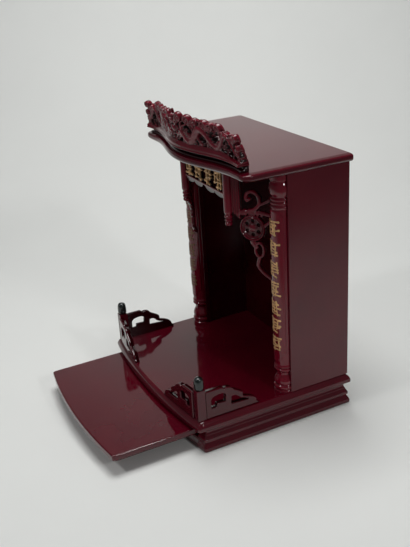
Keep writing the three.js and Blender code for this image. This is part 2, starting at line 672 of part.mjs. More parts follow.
// The pierced, carved plate: a fine front, square edges and a plain back of tall strips.
function crestPlate(columns, rows) {
  const vertices = [];
  const idOf = new Map();
  const front = [];
  const back = [];
  const rim = new Map();
  const vertexId = (vertex) => {
    if (!idOf.has(vertex.key)) {
      idOf.set(vertex.key, vertices.length);
      vertices.push(vertex);
    }
    return idOf.get(vertex.key);
  };
  for (let i = 0; i + 1 < columns.length; i += 1) {
    const stripEdges = new Map();
    for (let j = 0; j + 1 < rows.length; j += 1) {
      const corners = [
        [columns[i], rows[j]], [columns[i + 1], rows[j]],
        [columns[i + 1], rows[j + 1]], [columns[i], rows[j + 1]],
      ];
      const ids = cellOutline(corners, corners.map(([x, z]) => crestInside(x, z))).map(vertexId);
      ids.forEach((id, k) => {
        const following = ids[(k + 1) % ids.length];
        if (k > 0 && k + 1 < ids.length) front.push([ids[0], id, following]);
        toggleEdge(rim, id, following);
        toggleEdge(stripEdges, id, following);
      });
    }
    for (const loop of loopsOf(stripEdges)) {
      const strip = loop.filter((id) => !vertices[id].grid);
      const flat = strip.map((id) => new THREE.Vector2(...vertices[id].at));
      for (const [a, b, c] of THREE.ShapeUtils.triangulateShape(flat, [])) {
        back.push([strip[a], strip[c], strip[b]]);
      }
    }
  }
  const behindId = (id) => id + vertices.length;
  const faces = [...front, ...back.map((face) => face.map(behindId))];
  for (const [from, to] of rim.values()) {
    faces.push([from, behindId(from), behindId(to)], [from, behindId(to), to]);
  }
  const frontPoints = vertices.map(({ at: [x, z] }) => {
    return crestPoint(x, z, CREST_PLATE.sink - crestRelief(x, z));
  });
  const backPoints = vertices.map(({ at: [x, z] }) => crestPoint(x, z, crestThickness(z)));
  const positions = [...frontPoints, ...backPoints].flatMap((p) => p.toArray());
  return welded(meshFromTriangles(positions, faces.flat()));
}

// The strip that stands on the roof under the crest: its toe slopes back to a face behind the rail.
function crestFoot() {
  const { halfWidth, toe, front, back, steps } = CREST_FOOT;
  const line = (behind) => Array.from({ length: steps + 1 }, (_, i) => {
    const x = halfWidth * ((2 * i) / steps - 1);
    return new THREE.Vector2(x, crestFront(x) + behind);
  });
  const outlines = [toe, front].map((face) => [...line(face), ...line(back).reverse()]);
  return stackOutlines(outlines, [CREST.foot, CREST.rail + 2]);
}

function crest() {
  const reach = CREST_CELL.across * Math.ceil((CREST.railEnd + CLEAR) / CREST_CELL.across);
  const columns = [];
  for (let x = -reach; x <= reach; x += CREST_CELL.across) columns.push(x);
  const rows = [CREST.rail - 3, CREST.rail + 3, CREST.railTop - 0.1, CREST.railTop + 2];
  while (rows.at(-1) < CREST.top + 1) rows.push(rows.at(-1) + CREST_CELL.up);
  return toGeometry(toSolid(crestPlate(columns, rows)).add(toSolid(crestFoot())));
}

function pendant() {
  return turned(PENDANT_PROFILE, PENDANT.sides).translate(PENDANT.x, PENDANT.y, 0);
}

const group = new THREE.Group();
group.add(
  ...plinthRails(),
  piece('base_board', mouldedBoard(BOARD, bowedFront(BOARD), BOARD_MOULDING, { backFollows: true }), lacquer),
  ...pair('tray_runner', trayRunner(), darkLacquer),
  piece('tray', mouldedBoard(TRAY, bowedFront(TRAY), TRAY_MOULDING, { backFollows: true }), lacquer),
  ...cabinetPanels(),
  ...pair('column', columnBody(), carvedLacquer),
  piece('roof_board', mouldedBoard(ROOF, roofFront, ROOF_MOULDING, { steps: 8 }), lacquer),
  piece('crest', crest(), carvedLacquer),
  ...pair('pendant', pendant(), carvedLacquer),
  piece('valance', valance(), deepLacquer),
  ...pair('bracket', bracket(), deepLacquer),
  ...pair('fence_post', fencePost(), lacquer),
  ...pair('fence_side', sideFence(), lacquer),
  ...pair('fence_front', frontFence(), lacquer),
  ...pair('knob', knob(), knobPaint),
);
export default group;
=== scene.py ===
"""Dresses the lacquered altar: moulded boards, turned columns, carved crest, gilding and lacquer.

Lengths are in millimetres in the functions that shape a piece and are turned into metres in new_piece().
"""

import json
import math

import bpy
import numpy as np
from mathutils import Matrix, Vector

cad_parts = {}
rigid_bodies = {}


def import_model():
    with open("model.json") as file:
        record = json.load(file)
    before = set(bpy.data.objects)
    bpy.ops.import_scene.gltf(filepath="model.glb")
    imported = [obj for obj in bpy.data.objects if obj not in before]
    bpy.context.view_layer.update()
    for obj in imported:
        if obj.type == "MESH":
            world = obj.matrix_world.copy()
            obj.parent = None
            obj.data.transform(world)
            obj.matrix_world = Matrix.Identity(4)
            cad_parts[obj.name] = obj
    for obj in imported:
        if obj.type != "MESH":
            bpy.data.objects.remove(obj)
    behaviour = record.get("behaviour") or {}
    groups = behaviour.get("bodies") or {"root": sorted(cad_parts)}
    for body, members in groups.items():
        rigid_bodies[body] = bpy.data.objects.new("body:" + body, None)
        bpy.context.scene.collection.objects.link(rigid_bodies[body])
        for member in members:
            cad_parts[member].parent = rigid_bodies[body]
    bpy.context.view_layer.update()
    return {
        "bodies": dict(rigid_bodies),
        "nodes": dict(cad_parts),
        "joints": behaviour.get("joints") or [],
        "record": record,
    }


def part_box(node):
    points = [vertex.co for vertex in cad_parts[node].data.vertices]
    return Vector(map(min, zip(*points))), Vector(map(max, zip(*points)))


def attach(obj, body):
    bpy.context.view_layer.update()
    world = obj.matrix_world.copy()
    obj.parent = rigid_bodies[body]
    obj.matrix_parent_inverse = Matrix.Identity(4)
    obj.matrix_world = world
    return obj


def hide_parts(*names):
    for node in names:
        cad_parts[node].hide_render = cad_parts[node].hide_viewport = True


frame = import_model()

bl_info = {
    "name": "Lacquered Altar",
    "version": (1, 0, 0),
    "blender": (4, 5, 0),
    "location": "View3D > Sidebar > Altar",
    "description": "Builds the lacquered, carved and gilded surfaces of a household altar on its frame",
    "category": "Object",
}

MM = 0.001  # metres in a millimetre


# ---------------------------------------------------------------- where the frame's pieces are


def node_box(name):
    """Lowest and highest corner of a node of the frame, in millimetres."""
    low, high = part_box(name)
    return np.array(low) / MM, np.array(high) / MM


BOARD_LOW, BOARD_HIGH = node_box("base_board")
ROOF_LOW, ROOF_HIGH = node_box("roof_board")
TRAY_LOW, TRAY_HIGH = node_box("tray")
PLINTH_LOW, PLINTH_HIGH = node_box("plinth_right")
PLINTH_FRONT_LOW, PLINTH_FRONT_HIGH = node_box("plinth_front")
PLINTH_BACK_LOW, PLINTH_BACK_HIGH = node_box("plinth_back")
CASE_FLOOR = node_box("stile_right")[0][2]
CASE_TOP = node_box("stile_right")[1][2]
CREST_LOW, CREST_HIGH = node_box("crest")
COLUMN_LOW, COLUMN_HIGH = node_box("column_right")
PENDANT_LOW, PENDANT_HIGH = node_box("pendant_right")
VALANCE_LOW, VALANCE_HIGH = node_box("valance")
POST_LOW, POST_HIGH = node_box("fence_post_right")
KNOB_LOW, KNOB_HIGH = node_box("knob_right")
FENCE_SIDE_LOW, FENCE_SIDE_HIGH = node_box("fence_side_right")
FENCE_FRONT_LOW = node_box("fence_front_right")[0]

JOINT = CASE_FLOOR - BOARD_HIGH[2]  # gap between pieces that touch
FENCE_TALL = FENCE_SIDE_HIGH[2] - CASE_FLOOR
FENCE_DRAWN = 141.0  # length of the fence as its outline is drawn
FENCE_ROUNDING = 1.6
POST_CUT = 0.9  # width of the posts' cut edges
PLINTH_WALL = 20.0
PLINTH_ROUNDING = 1.6  # radius at the corners of the plinth's moulding
BOARD_ROUNDING = 1.5
TRAY_ROUNDING = 1.2
BOW_DEPTH = 18.0  # how far the bowed fronts fall back ...
BOW_REACH = 210.0  # ... at this distance from the middle
ROOF_SWELL = 30.0  # how far the roof's front comes forward in the middle ...
ROOF_REACH = 178.0  # ... within this distance of the middle
COLUMN_X = (COLUMN_LOW[0] + COLUMN_HIGH[0]) / 2
COLUMN_Y = COLUMN_HIGH[1]
PENDANT_X = (PENDANT_LOW[0] + PENDANT_HIGH[0]) / 2
PENDANT_Y = (PENDANT_LOW[1] + PENDANT_HIGH[1]) / 2


# ---------------------------------------------------------------- settings a user would change


class AltarFinishes(bpy.types.PropertyGroup):
    """Colours and gloss of the altar's finishes"""

    lacquer: bpy.props.FloatVectorProperty(
        name="Red lacquer",
        description="Body colour of the lacquer on the boards and the cabinet",
        default=(0.077, 0.001, 0.0084),
        size=3,
        min=0.0,
        max=1.0,
        subtype="COLOR",
    )
    carving: bpy.props.FloatVectorProperty(
        name="Carving lacquer",
        description="Body colour of the lacquer on the carving and the columns, thinner and brighter",
        default=(0.19, 0.0022, 0.017),
        size=3,
        min=0.0,
        max=1.0,
        subtype="COLOR",
    )
    # Painted shade: darkens the lacquer inside the niche, under the roof and in the carving's recesses.
    shade: bpy.props.FloatVectorProperty(
        name="Shaded lacquer",
        description="Colour of the lacquer inside the niche and where it pools in the carving",
        default=(0.014, 0.0003, 0.001),
        size=3,
        min=0.0,
        max=1.0,
        subtype="COLOR",
    )
    gold: bpy.props.FloatVectorProperty(
        name="Gold paint",
        description="Colour of the paint on the raised marks",
        default=(0.84, 0.5, 0.22),
        size=3,
        min=0.0,
        max=1.0,
        subtype="COLOR",
    )
    knob: bpy.props.FloatVectorProperty(
        name="Knob paint",
        description="Colour of the knobs on the corner posts",
        default=(0.004, 0.008, 0.0075),
        size=3,
        min=0.0,
        max=1.0,
        subtype="COLOR",
    )
    gloss: bpy.props.FloatProperty(
        name="Lacquer roughness",
        description="Roughness of the polished lacquer on the flat boards",
        default=0.07,
        min=0.0,
        max=1.0,
        subtype="FACTOR",
    )


class AltarCarving(bpy.types.PropertyGroup):
    """How finely the carved and pierced pieces are meshed and rounded"""

    pitch: bpy.props.FloatProperty(
        name="Carving pitch",
        description="Size of the mesh cells of the carved pieces, in millimetres",
        default=0.9,
        min=0.5,
        max=4.0,
    )
    rounding: bpy.props.FloatProperty(
        name="Edge rounding",
        description="How far the front edges of pierced pieces are rounded over, in millimetres",
        default=1.6,
        min=0.2,
        max=4.0,
    )


class AltarStage(bpy.types.PropertyGroup):
    """Floor and lights around the altar"""

    floor: bpy.props.FloatVectorProperty(
        name="Floor colour",
        description="Colour of the plain pale floor",
        default=(0.78, 0.79, 0.765),
        size=3,
        min=0.0,
        max=1.0,
        subtype="COLOR",
    )
    sky: bpy.props.FloatProperty(
        name="Room light",
        description="Strength of the even light of the room",
        default=0.12,
        min=0.0,
        max=5.0,
    )
    softbox: bpy.props.FloatProperty(
        name="Main light",
        description="Power of the soft light overhead, in watts",
        default=31.5,
        min=0.0,
        max=500.0,
        unit="POWER",
    )
    lamps: bpy.props.FloatProperty(
        name="Side lamps",
        description="Power of each of the two small lamps at the sides, in watts",
        default=18.0,
        min=0.0,
        max=200.0,
        unit="POWER",
    )
    wall_light: bpy.props.FloatProperty(
        name="Wall light",
        description="Power of the light on the paper behind the altar, in watts",
        default=14.0,
        min=0.0,
        max=200.0,
        unit="POWER",
    )


# ---------------------------------------------------------------- materials

MIX_COLOUR, MIX_OTHER, MIX_RESULT = 6, 7, 2  # colour sockets of the Mix node
BLACK = (0.0, 0.0, 0.0)
GREY = (0.5, 0.5, 0.5)
WARM_RED = (0.12, 0.004, 0.008)  # where the lacquer's film is thin
THIN_GOLD = (0.06, 0.02, 0.01)
PAINTED_SHADE_GOLD = (0.05, 0.012, 0.01)
PAINTED_SHADE_BEYOND = 150.0  # the gold left of this distance from the middle is darkened by painted shade
DUST = (0.05, 0.06, 0.055)


def node_material(name):
    """A new material with its nodes and links."""
    material = bpy.data.materials.new(name)
    material.use_nodes = True
    return material, material.node_tree.nodes, material.node_tree.links


def add_node(nodes, kind, **settings):
    """A shader node with its plain settings and the values of its unlinked sockets."""
    node = nodes.new(kind)
    for key, value in settings.items():
        if key in node.inputs:
            node.inputs[key].default_value = value
        else:
            setattr(node, key, value)
    return node


def object_place(nodes):
    """Place in the piece's own coordinates, in metres."""
    return add_node(nodes, "ShaderNodeTexCoord").outputs["Object"]


def noise(nodes, links, place, scale, detail, roughness):
    """Value of a noise that stays fixed to the piece."""
    texture = add_node(nodes, "ShaderNodeTexNoise", Scale=scale, Detail=detail, Roughness=roughness)
    links.new(place, texture.inputs["Vector"])
    return texture.outputs["Fac"]


def ramp(nodes, links, value, low, high, colour_low, colour_high):
    """A value turned into a colour between two colours."""
    node = nodes.new("ShaderNodeValToRGB")
    ends = node.color_ramp.elements
    ends[0].position = low
    ends[0].color = (*colour_low, 1.0)
    ends[1].position = high
    ends[1].color = (*colour_high, 1.0)
    links.new(value, node.inputs["Fac"])
    return node.outputs["Color"]


def mapped(nodes, links, value, **ends):
    """A value mapped from one range to another."""
    node = add_node(nodes, "ShaderNodeMapRange", **ends)
    links.new(value, node.inputs["Value"])
    return node.outputs["Result"]


def blend(nodes, links, share, colour, other):
    """A colour that turns into a plain other colour by a share."""
    node = add_node(nodes, "ShaderNodeMix", data_type="RGBA")
    links.new(share, node.inputs["Factor"])
    links.new(colour, node.inputs[MIX_COLOUR])
    node.inputs[MIX_OTHER].default_value = (*other, 1.0)
    return node.outputs[MIX_RESULT]


def mixed(colour, other, share):
    """A plain colour part of the way to another."""
    return tuple(a * (1 - share) + b * share for a, b in zip(colour, other))


def lacquer_material(name, body, painted_shade_colour, roughness, relief=False):
    """Mirror-gloss lacquer: faint sag in the film, hazy patches and, on carving, painted shade in the
    recesses.
    """
    material, nodes, links = node_material(name)
    shader = nodes["Principled BSDF"]
    shader.inputs["IOR"].default_value = 1.52
    place = object_place(nodes)

    cloud = noise(nodes, links, place, 9.0, 5.0, 0.55)
    colour = ramp(nodes, links, cloud, 0.3, 0.72, mixed(body, painted_shade_colour, 0.22), mixed(body, WARM_RED, 0.3))
    # Painted shade: on carving, each point is darkened towards the shade colour by its share of painted
    # shade.
    if relief:
        depth = add_node(nodes, "ShaderNodeAttribute", attribute_name="hollow").outputs["Fac"]
        deep = mapped(nodes, links, depth, **{"From Min": 0.14, "From Max": 0.52, "To Max": 0.96})
        colour = blend(nodes, links, deep, colour, painted_shade_colour)
    links.new(colour, shader.inputs["Base Color"])

    haze = noise(nodes, links, place, 26.0, 6.0, 0.6)
    gloss = mapped(nodes, links, haze, **{"To Min": roughness * 0.7, "To Max": roughness * 1.5})
    links.new(gloss, shader.inputs["Roughness"])

    grain, strength = (230.0, 0.5) if relief else (38.0, 0.12)
    bump = add_node(nodes, "ShaderNodeBump", Strength=strength, Distance=0.0004)
    links.new(noise(nodes, links, place, grain, 4.0, 0.45), bump.inputs["Height"])
    links.new(bump.outputs["Normal"], shader.inputs["Normal"])
    return material


def gold_material(name, colour):
    """Brushed-on gold paint, thin and brownish in patches, with painted shade on the marks of the left
    column.
    """
    material, nodes, links = node_material(name)
    shader = nodes["Principled BSDF"]
    shader.inputs["Metallic"].default_value = 0.4
    place = object_place(nodes)
    patches = noise(nodes, links, place, 160.0, 4.0, 0.6)
    tint = ramp(nodes, links, patches, 0.32, 0.62, mixed(colour, THIN_GOLD, 0.55), colour)
    # Painted shade: the marks on the left column are darkened.
    across = add_node(nodes, "ShaderNodeSeparateXYZ")
    links.new(place, across.inputs["Vector"])
    left = add_node(nodes, "ShaderNodeMath", operation="LESS_THAN")
    left.inputs[1].default_value = -PAINTED_SHADE_BEYOND * MM
    links.new(across.outputs["X"], left.inputs[0])
    shaded_gold = blend(nodes, links, left.outputs["Value"], tint, mixed(colour, PAINTED_SHADE_GOLD, 0.85))
    links.new(shaded_gold, shader.inputs["Base Color"])
    rough = mapped(nodes, links, patches, **{"To Min": 0.26, "To Max": 0.5})
    links.new(rough, shader.inputs["Roughness"])
    return material


def knob_material(name, colour):
    """Near-black green gloss paint with fine dust."""
    material, nodes, links = node_material(name)
    shader = nodes["Principled BSDF"]
    shader.inputs["Coat Weight"].default_value = 0.4
    shader.inputs["Coat Roughness"].default_value = 0.08
    dust = noise(nodes, links, object_place(nodes), 120.0, 5.0, 0.65)
    tint = ramp(nodes, links, dust, 0.45, 0.85, colour, mixed(colour, DUST, 0.4))
    links.new(tint, shader.inputs["Base Color"])
    rough = mapped(nodes, links, dust, **{"To Min": 0.16, "To Max": 0.3})
    links.new(rough, shader.inputs["Roughness"])
    return material


def material_for(finish):
    """The named finish, made once; the frame's own plain materials keep their names."""
    name = f"fine_{finish}"
    if name in bpy.data.materials:
        return bpy.data.materials[name]
    finishes = bpy.context.scene.altar_finishes
    if finish == "gold_paint":
        return gold_material(name, tuple(finishes.gold))
    if finish == "knob_paint":
        return knob_material(name, tuple(finishes.knob))
    body, carving, shade = tuple(finishes.lacquer), tuple(finishes.carving), tuple(finishes.shade)
    # Painted shade: darker copies for the niche's walls, stiles, runners and back, and for valance and
    # brackets.
    colour, dullness, relief = {
        "red_lacquer": (body, 1.0, False),
        "side_lacquer": (mixed(body, carving, 0.14), 1.0, False),
        "dark_lacquer": (mixed(body, shade, 0.6), 1.5, False),
        "unlit_lacquer": (mixed(body, shade, 0.95), 2.0, False),
        "bright_lacquer": (mixed(carving, body, 0.2), 1.0, False),
        "carved_lacquer": (carving, 1.6, True),
        "deep_lacquer": (mixed(carving, shade, 0.3), 1.6, True),
    }[finish]
    return lacquer_material(name, colour, shade, finishes.gloss * dullness, relief)


# ---------------------------------------------------------------- making a piece


def new_piece(
    name,
    points,
    faces,
    finish,
    body="cabinet",
    stands_for=(),
    flat_faces=None,
    hollow=None,
    sharp=None,
    look=None,
):
    """A mesh object from points in millimetres, in its finish and on its body of the frame.

    flat_faces are the faces shaded flat, the painted shade of each point from 0 to 1 comes after them, sharp
    is the angle beyond which an edge stays crisp, and look is a finish that the piece takes in place of
    finish.
    """
    mesh = bpy.data.meshes.new(name)
    mesh.from_pydata((np.asarray(points, float) * MM).tolist(), [], faces)
    mesh.validate()
    smooth = np.ones(len(mesh.polygons), bool)
    if flat_faces is not None:
        smooth[flat_faces] = False
    mesh.polygons.foreach_set("use_smooth", smooth)
    if sharp is not None:
        mesh.set_sharp_from_angle(angle=math.radians(sharp))
    if hollow is not None:
        attribute = mesh.attributes.new("hollow", "FLOAT", "POINT")
        attribute.data.foreach_set("value", np.asarray(hollow, np.float32))
    mesh.materials.append(material_for(look or finish))
    piece = bpy.data.objects.new(name, mesh)
    bpy.context.scene.collection.objects.link(piece)
    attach(piece, body)
    if stands_for:
        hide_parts(*stands_for)
    return piece


def mirrored(points, faces):
    """The same body on the other side of the middle plane, faces still outwards."""
    other = np.asarray(points, float) * (-1, 1, 1)
    return other, [tuple(reversed(face)) for face in faces]


def stacked(outlines, heights):
    """Points and faces of a closed body through level outlines, lowest first, each anticlockwise."""
    count = len(outlines[0])
    points = [(x, y, z) for ring, z in zip(outlines, heights) for x, y in ring]
    faces = []
    for level in range(len(outlines) - 1):
        start = level * count
        for i in range(count):
            after = (i + 1) % count
            faces.append((start + i, start + after, start + after + count, start + i + count))
    faces.append(tuple(reversed(range(count))))
    faces.append(tuple(range(len(points) - count, len(points))))
    return points, faces


def rounded_profile(profile, radius, steps=4):
    """An open chain of corners with each inner corner rounded."""
    profile = np.asarray(profile, float)
    chain = [profile[0]]
    for before, corner, after in zip(profile, profile[1:], profile[2:]):
        into, out = before - corner, after - corner
        reach = min(radius, 0.45 * np.linalg.norm(into), 0.45 * np.linalg.norm(out))
        start = corner + into / np.linalg.norm(into) * reach
        end = corner + out / np.linalg.norm(out) * reach
        for i in range(steps + 1):
            t = i / steps
            chain.append((1 - t) ** 2 * start + 2 * t * (1 - t) * corner + t**2 * end)
    chain.append(profile[-1])
    return np.array(chain)


def turned(profile, sides):
    """Points and faces of a turned body from (radius, height) pairs, lowest first, closed at both ends."""
    angles = np.radians(360.0 * np.arange(sides) / sides)
    outlines = [[(r * math.cos(a), r * math.sin(a)) for a in angles] for r, _ in profile]
    return stacked(outlines, [z for _, z in profile])


# ---------------------------------------------------------------- boards

CURVE_STEPS = 8


def quadratic(start, bend, end):
    """Points of a curve from start, which is left out, towards bend and on to end."""
    t = np.linspace(0, 1, CURVE_STEPS + 1)[1:, None]
    start, bend, end = map(np.asarray, (start, bend, end))
    return [tuple(p) for p in (1 - t) ** 2 * start + 2 * t * (1 - t) * bend + t**2 * end]


def bowed(front_middle):
    """Front edge of a bowed board as a function of x."""
    return lambda x: front_middle + BOW_DEPTH * (x / BOW_REACH) ** 2


def roof_front(x):
    """The roof swells forward in the middle and runs straight towards the corners."""
    share = np.minimum(np.abs(x) / ROOF_REACH, 1.0)
    return ROOF_LOW[1] + ROOF_SWELL * (1 - np.cos(np.pi * share)) / 2


FRONT_STEPS = 36  # points along half of a shaped front edge


def board_outline(half_width, back, corner_in, corner_y, front_at, inset, back_inset=0.0):
    """Plan of a board: straight back and sides, rounded front corners and a shaped front edge."""
    side = half_width - inset
    inner = corner_in - inset
    start = np.array((side, corner_y + inset))
    end = np.array((inner, front_at(corner_in) + inset))
    bend = np.array((side, end[1]))
    half = [(side, back - back_inset), tuple(start), *quadratic(start, bend, end)]
    for i in range(1, FRONT_STEPS + 1):
        along = 1 - i / FRONT_STEPS
        half.append((inner * along, front_at(corner_in * along) + inset))
    return [(-x, y) for x, y in half[:-1]] + half[::-1]


def moulded_board(plan, moulding, radius, back_follows=False):
    """A board whose edge follows a moulding of (inset, height) corners, each rounded a little."""
    profile = rounded_profile(moulding, radius)
    outlines = [board_outline(**plan, inset=d, back_inset=d if back_follows else 0.0) for d, _ in profile]
    points, faces = stacked(outlines, profile[:, 1])
    return points, faces, [len(faces) - 2, len(faces) - 1]


BOARD_PLAN = {
    "half_width": BOARD_HIGH[0],
    "back": BOARD_HIGH[1],
    "corner_in": BOARD_HIGH[0] - 7.6,
    "corner_y": BOARD_LOW[1] + 30,
    "front_at": bowed(BOARD_LOW[1]),
}
TRAY_PLAN = {
    "half_width": TRAY_HIGH[0],
    "back": TRAY_HIGH[1],
    "corner_in": TRAY_HIGH[0] - 4,
    "corner_y": TRAY_LOW[1] + 23,
    "front_at": bowed(TRAY_LOW[1]),
}
ROOF_PLAN = {
    "half_width": ROOF_HIGH[0],
    "back": ROOF_HIGH[1],
    "corner_in": ROOF_HIGH[0] - 22,
    "corner_y": ROOF_LOW[1] + 52,
    "front_at": roof_front,
}
PLINTH_PLAN = {
    "half_width": PLINTH_HIGH[0],
    "back": PLINTH_HIGH[1],
    "corner_in": PLINTH_HIGH[0] - 5.1,
    "corner_y": PLINTH_FRONT_LOW[1] + 25,
    "front_at": bowed(PLINTH_FRONT_LOW[1]),
}


def board_moulding():
    """Bullnose with a long round over its top."""
    low, top = BOARD_LOW[2], BOARD_HIGH[2]
    return [
        (6, low), (3.8, low), (0.8, low + 1.8), (0, low + 4.2), (0, low + 9.4), (1.2, low + 12.6),
        (3.3, top - 4.6), (6.0, top - 1.7), (9.2, top), (11, top),
    ]


def tray_moulding():
    """Upright edge with a small round on top and a cove below."""
    low, top = TRAY_LOW[2], TRAY_HIGH[2]
    return [
        (12, low), (11, low), (7, low + 3.3), (4, low + 8), (3, low + 9.6), (0.2, low + 10),
        (0, low + 10.6), (0, top - 1.8), (1.6, top), (3, top),
    ]


def roof_moulding():
    """Chamfer, upright face and a thumbnail round up to the flat top."""
    low, top = ROOF_LOW[2], ROOF_HIGH[2]
    return [
        (4, low), (3.2, low), (0, low + 3.9), (0, top - 4.6), (0.9, top - 2.4), (3, top - 1.2),
        (8, top - 0.5), (13, top), (15, top),
    ]


def plinth_moulding():
    """Foot, slope that runs in under an upright band, second slope and the recess under the board."""
    return [
        (1.7, 0), (0.2, 1.8), (0, 8.6), (0.8, 10.4), (6.0, 20.8), (3.4, 21.6), (3.0, 22.6), (3.0, 28.2),
        (3.8, 29.4), (7.2, 35.8), (7.4, 37.0), (9.8, 41), (9.8, PLINTH_HIGH[2]),
    ]


def plinth_side():
    """Right-hand plinth rail: the moulding swept down the side and round both corners."""
    profile = rounded_profile(plinth_moulding(), PLINTH_ROUNDING)
    inner = PLINTH_HIGH[0] - PLINTH_WALL
    slot = PLINTH_LOW[0]
    behind = PLINTH_HIGH[1] - PLINTH_WALL - JOINT
    front_at = PLINTH_PLAN["front_at"]
    front = front_at(slot)
    rings = []
    for inset, _ in profile:
        plan = board_outline(**PLINTH_PLAN, inset=inset, back_inset=inset)
        outline = [(slot, front + inset)] + [p for p in plan[len(plan) // 2 :] if p[0] > slot + 0.5]
        outline.append((inner, PLINTH_HIGH[1] - inset))
        outline.append((inner, behind))
        outline.append((inner, front + PLINTH_WALL))
        outline.append((slot, front + PLINTH_WALL))
        rings.append(outline)
    count = min(len(ring) for ring in rings)
    rings = [ring[:1] + ring[len(ring) - count + 1 :] for ring in rings]
    return stacked(rings, profile[:, 1])


def plinth_back():
    """Rear rail between the side rails, with the same moulding outside."""
    profile = rounded_profile(plinth_moulding(), PLINTH_ROUNDING)
    half = PLINTH_BACK_HIGH[0]
    inner, outer = PLINTH_BACK_LOW[1], PLINTH_BACK_HIGH[1]
    rings = [
        [(-half, inner), (half, inner), (half, outer - inset), (-half, outer - inset)] for inset, _ in profile
    ]
    return stacked(rings, profile[:, 1])


def plinth_front():
    """Low front rail under the tray's slot, bowed like the boards."""
    half, sill = PLINTH_FRONT_HIGH[0], PLINTH_FRONT_HIGH[2]
    profile = [p for p in rounded_profile(plinth_moulding(), PLINTH_ROUNDING) if p[1] < sill - 1]
    profile.append(np.array((profile[-1][0] + 0.5, sill)))
    xs = np.linspace(-half, half, 61)
    front_at = PLINTH_PLAN["front_at"]
    inner = [(x, front_at(x) + PLINTH_WALL) for x in xs[::-1]]
    rings = [[(x, front_at(x) + inset) for x in xs] + inner for inset, _ in profile]
    return stacked(rings, [z for _, z in profile])


# ---------------------------------------------------------------- carved panels


def segment_field(x, z, start, end):
    """Distance from a segment and how far along it, for grids x and z."""
    run = np.subtract(end, start)
    length = max(float(run @ run), 1e-9)
    along = np.clip(((x - start[0]) * run[0] + (z - start[1]) * run[1]) / length, 0, 1)
    return np.hypot(x - start[0] - along * run[0], z - start[1] - along * run[1]), along


def polygon_inside(x, z, corners):
    """Signed distance to a closed outline, positive inside."""
    corners = np.asarray(corners, float)
    nearest = np.full(x.shape, np.inf)
    crossings = np.zeros(x.shape, int)
    for a, b in zip(corners, np.roll(corners, -1, axis=0)):
        nearest = np.minimum(nearest, segment_field(x, z, a, b)[0])
        spans = (a[1] > z) != (b[1] > z)
        if a[1] != b[1]:
            meet = a[0] + (z - a[1]) * (b[0] - a[0]) / (b[1] - a[1])
            crossings += spans & (x < meet)
    return np.where(crossings % 2 == 1, nearest, -nearest)


STROKE_MARGIN = 8.0  # how far round a stroke its distance is kept
GROOVE_DEPTH, GROOVE_WIDTH = 0.32, 0.22  # a groove down the middle, in shares of a stroke's rise and radius
SCALE_LENGTH, SCALE_WIDTH = 3.4, 2.6
RIB_LENGTH = 3.0


class Carving:
    """Strokes carved on a grid: how proud each point stands and how deep it lies inside the strokes."""

    def __init__(self, xs, zs):
        self.xs, self.zs = xs, zs
        self.x, self.z = np.meshgrid(xs, zs, indexing="ij")
        self.rise = np.zeros(self.x.shape)
        self.cover = np.full(self.x.shape, -np.inf)

    def window(self, low, high):
        """The part of the grid between two corners."""
        i0, i1 = np.searchsorted(self.xs, (low[0], high[0]))
        j0, j1 = np.searchsorted(self.zs, (low[1], high[1]))
        return slice(max(i0 - 1, 0), i1 + 1), slice(max(j0 - 1, 0), j1 + 1)

    def stroke(self, path, radius, rise, style="round"):
        """A rounded ridge along a path; radius is one value or one for each point."""
        path = np.asarray(path, float)
        radii = np.broadcast_to(np.asarray(radius, float), (len(path),))
        travelled = 0.0
        for k in range(len(path) - 1):
            a, b = path[k], path[k + 1]
            reach = max(radii[k], radii[k + 1]) + STROKE_MARGIN
            part = self.window(np.minimum(a, b) - reach, np.maximum(a, b) + reach)
            x, z = self.x[part], self.z[part]
            if x.size == 0:
                continue
            away, along = segment_field(x, z, a, b)
            r = radii[k] + (radii[k + 1] - radii[k]) * along
            off = away / r
            shape = np.sqrt(np.clip(1 - off**2, 0, 1))
            step = float(np.hypot(*(b - a)))
            s = travelled + along * step
            if style == "groove":
                shape = shape - GROOVE_DEPTH * np.exp(-((off / GROOVE_WIDTH) ** 2))
            elif style == "scales":
                side = ((x - a[0]) * (b[1] - a[1]) - (z - a[1]) * (b[0] - a[0])) / max(step, 1e-6)
                row = np.floor(side / SCALE_WIDTH)
                phase = (s + SCALE_LENGTH / 2 * (row % 2)) / SCALE_LENGTH
                shape = shape * (0.86 + 0.2 * (phase - np.floor(phase)))
            elif style == "ribs":
                shape = shape * (0.86 + 0.16 * np.cos(2 * np.pi * s / RIB_LENGTH))
            height = np.where(off < 1, rise * shape, 0)
            self.rise[part] = np.maximum(self.rise[part], height)
            self.cover[part] = np.maximum(self.cover[part], r - away)
            travelled += step

    def dot(self, centre, radius, rise):
        """A round boss."""
        self.stroke([centre, (centre[0] + 0.01, centre[1])], radius, rise)


def spiral(centre, radius, turns=1.25, start=0.0, hand=1, tight=0.22, steps=26):
    """Path of a scroll that winds inwards."""
    t = np.linspace(0, 1, steps)
    angle = start + hand * 2 * np.pi * turns * t
    reach = radius * (1 - (1 - tight) * t)
    return np.stack([centre[0] + reach * np.cos(angle), centre[1] + reach * np.sin(angle)], axis=1)


def arc(centre, radius, start, end, steps):
    """Path along a circle, angles in degrees."""
    angle = np.radians(np.linspace(start, end, steps))
    return np.stack([centre[0] + radius * np.cos(angle), centre[1] + radius * np.sin(angle)], axis=1)


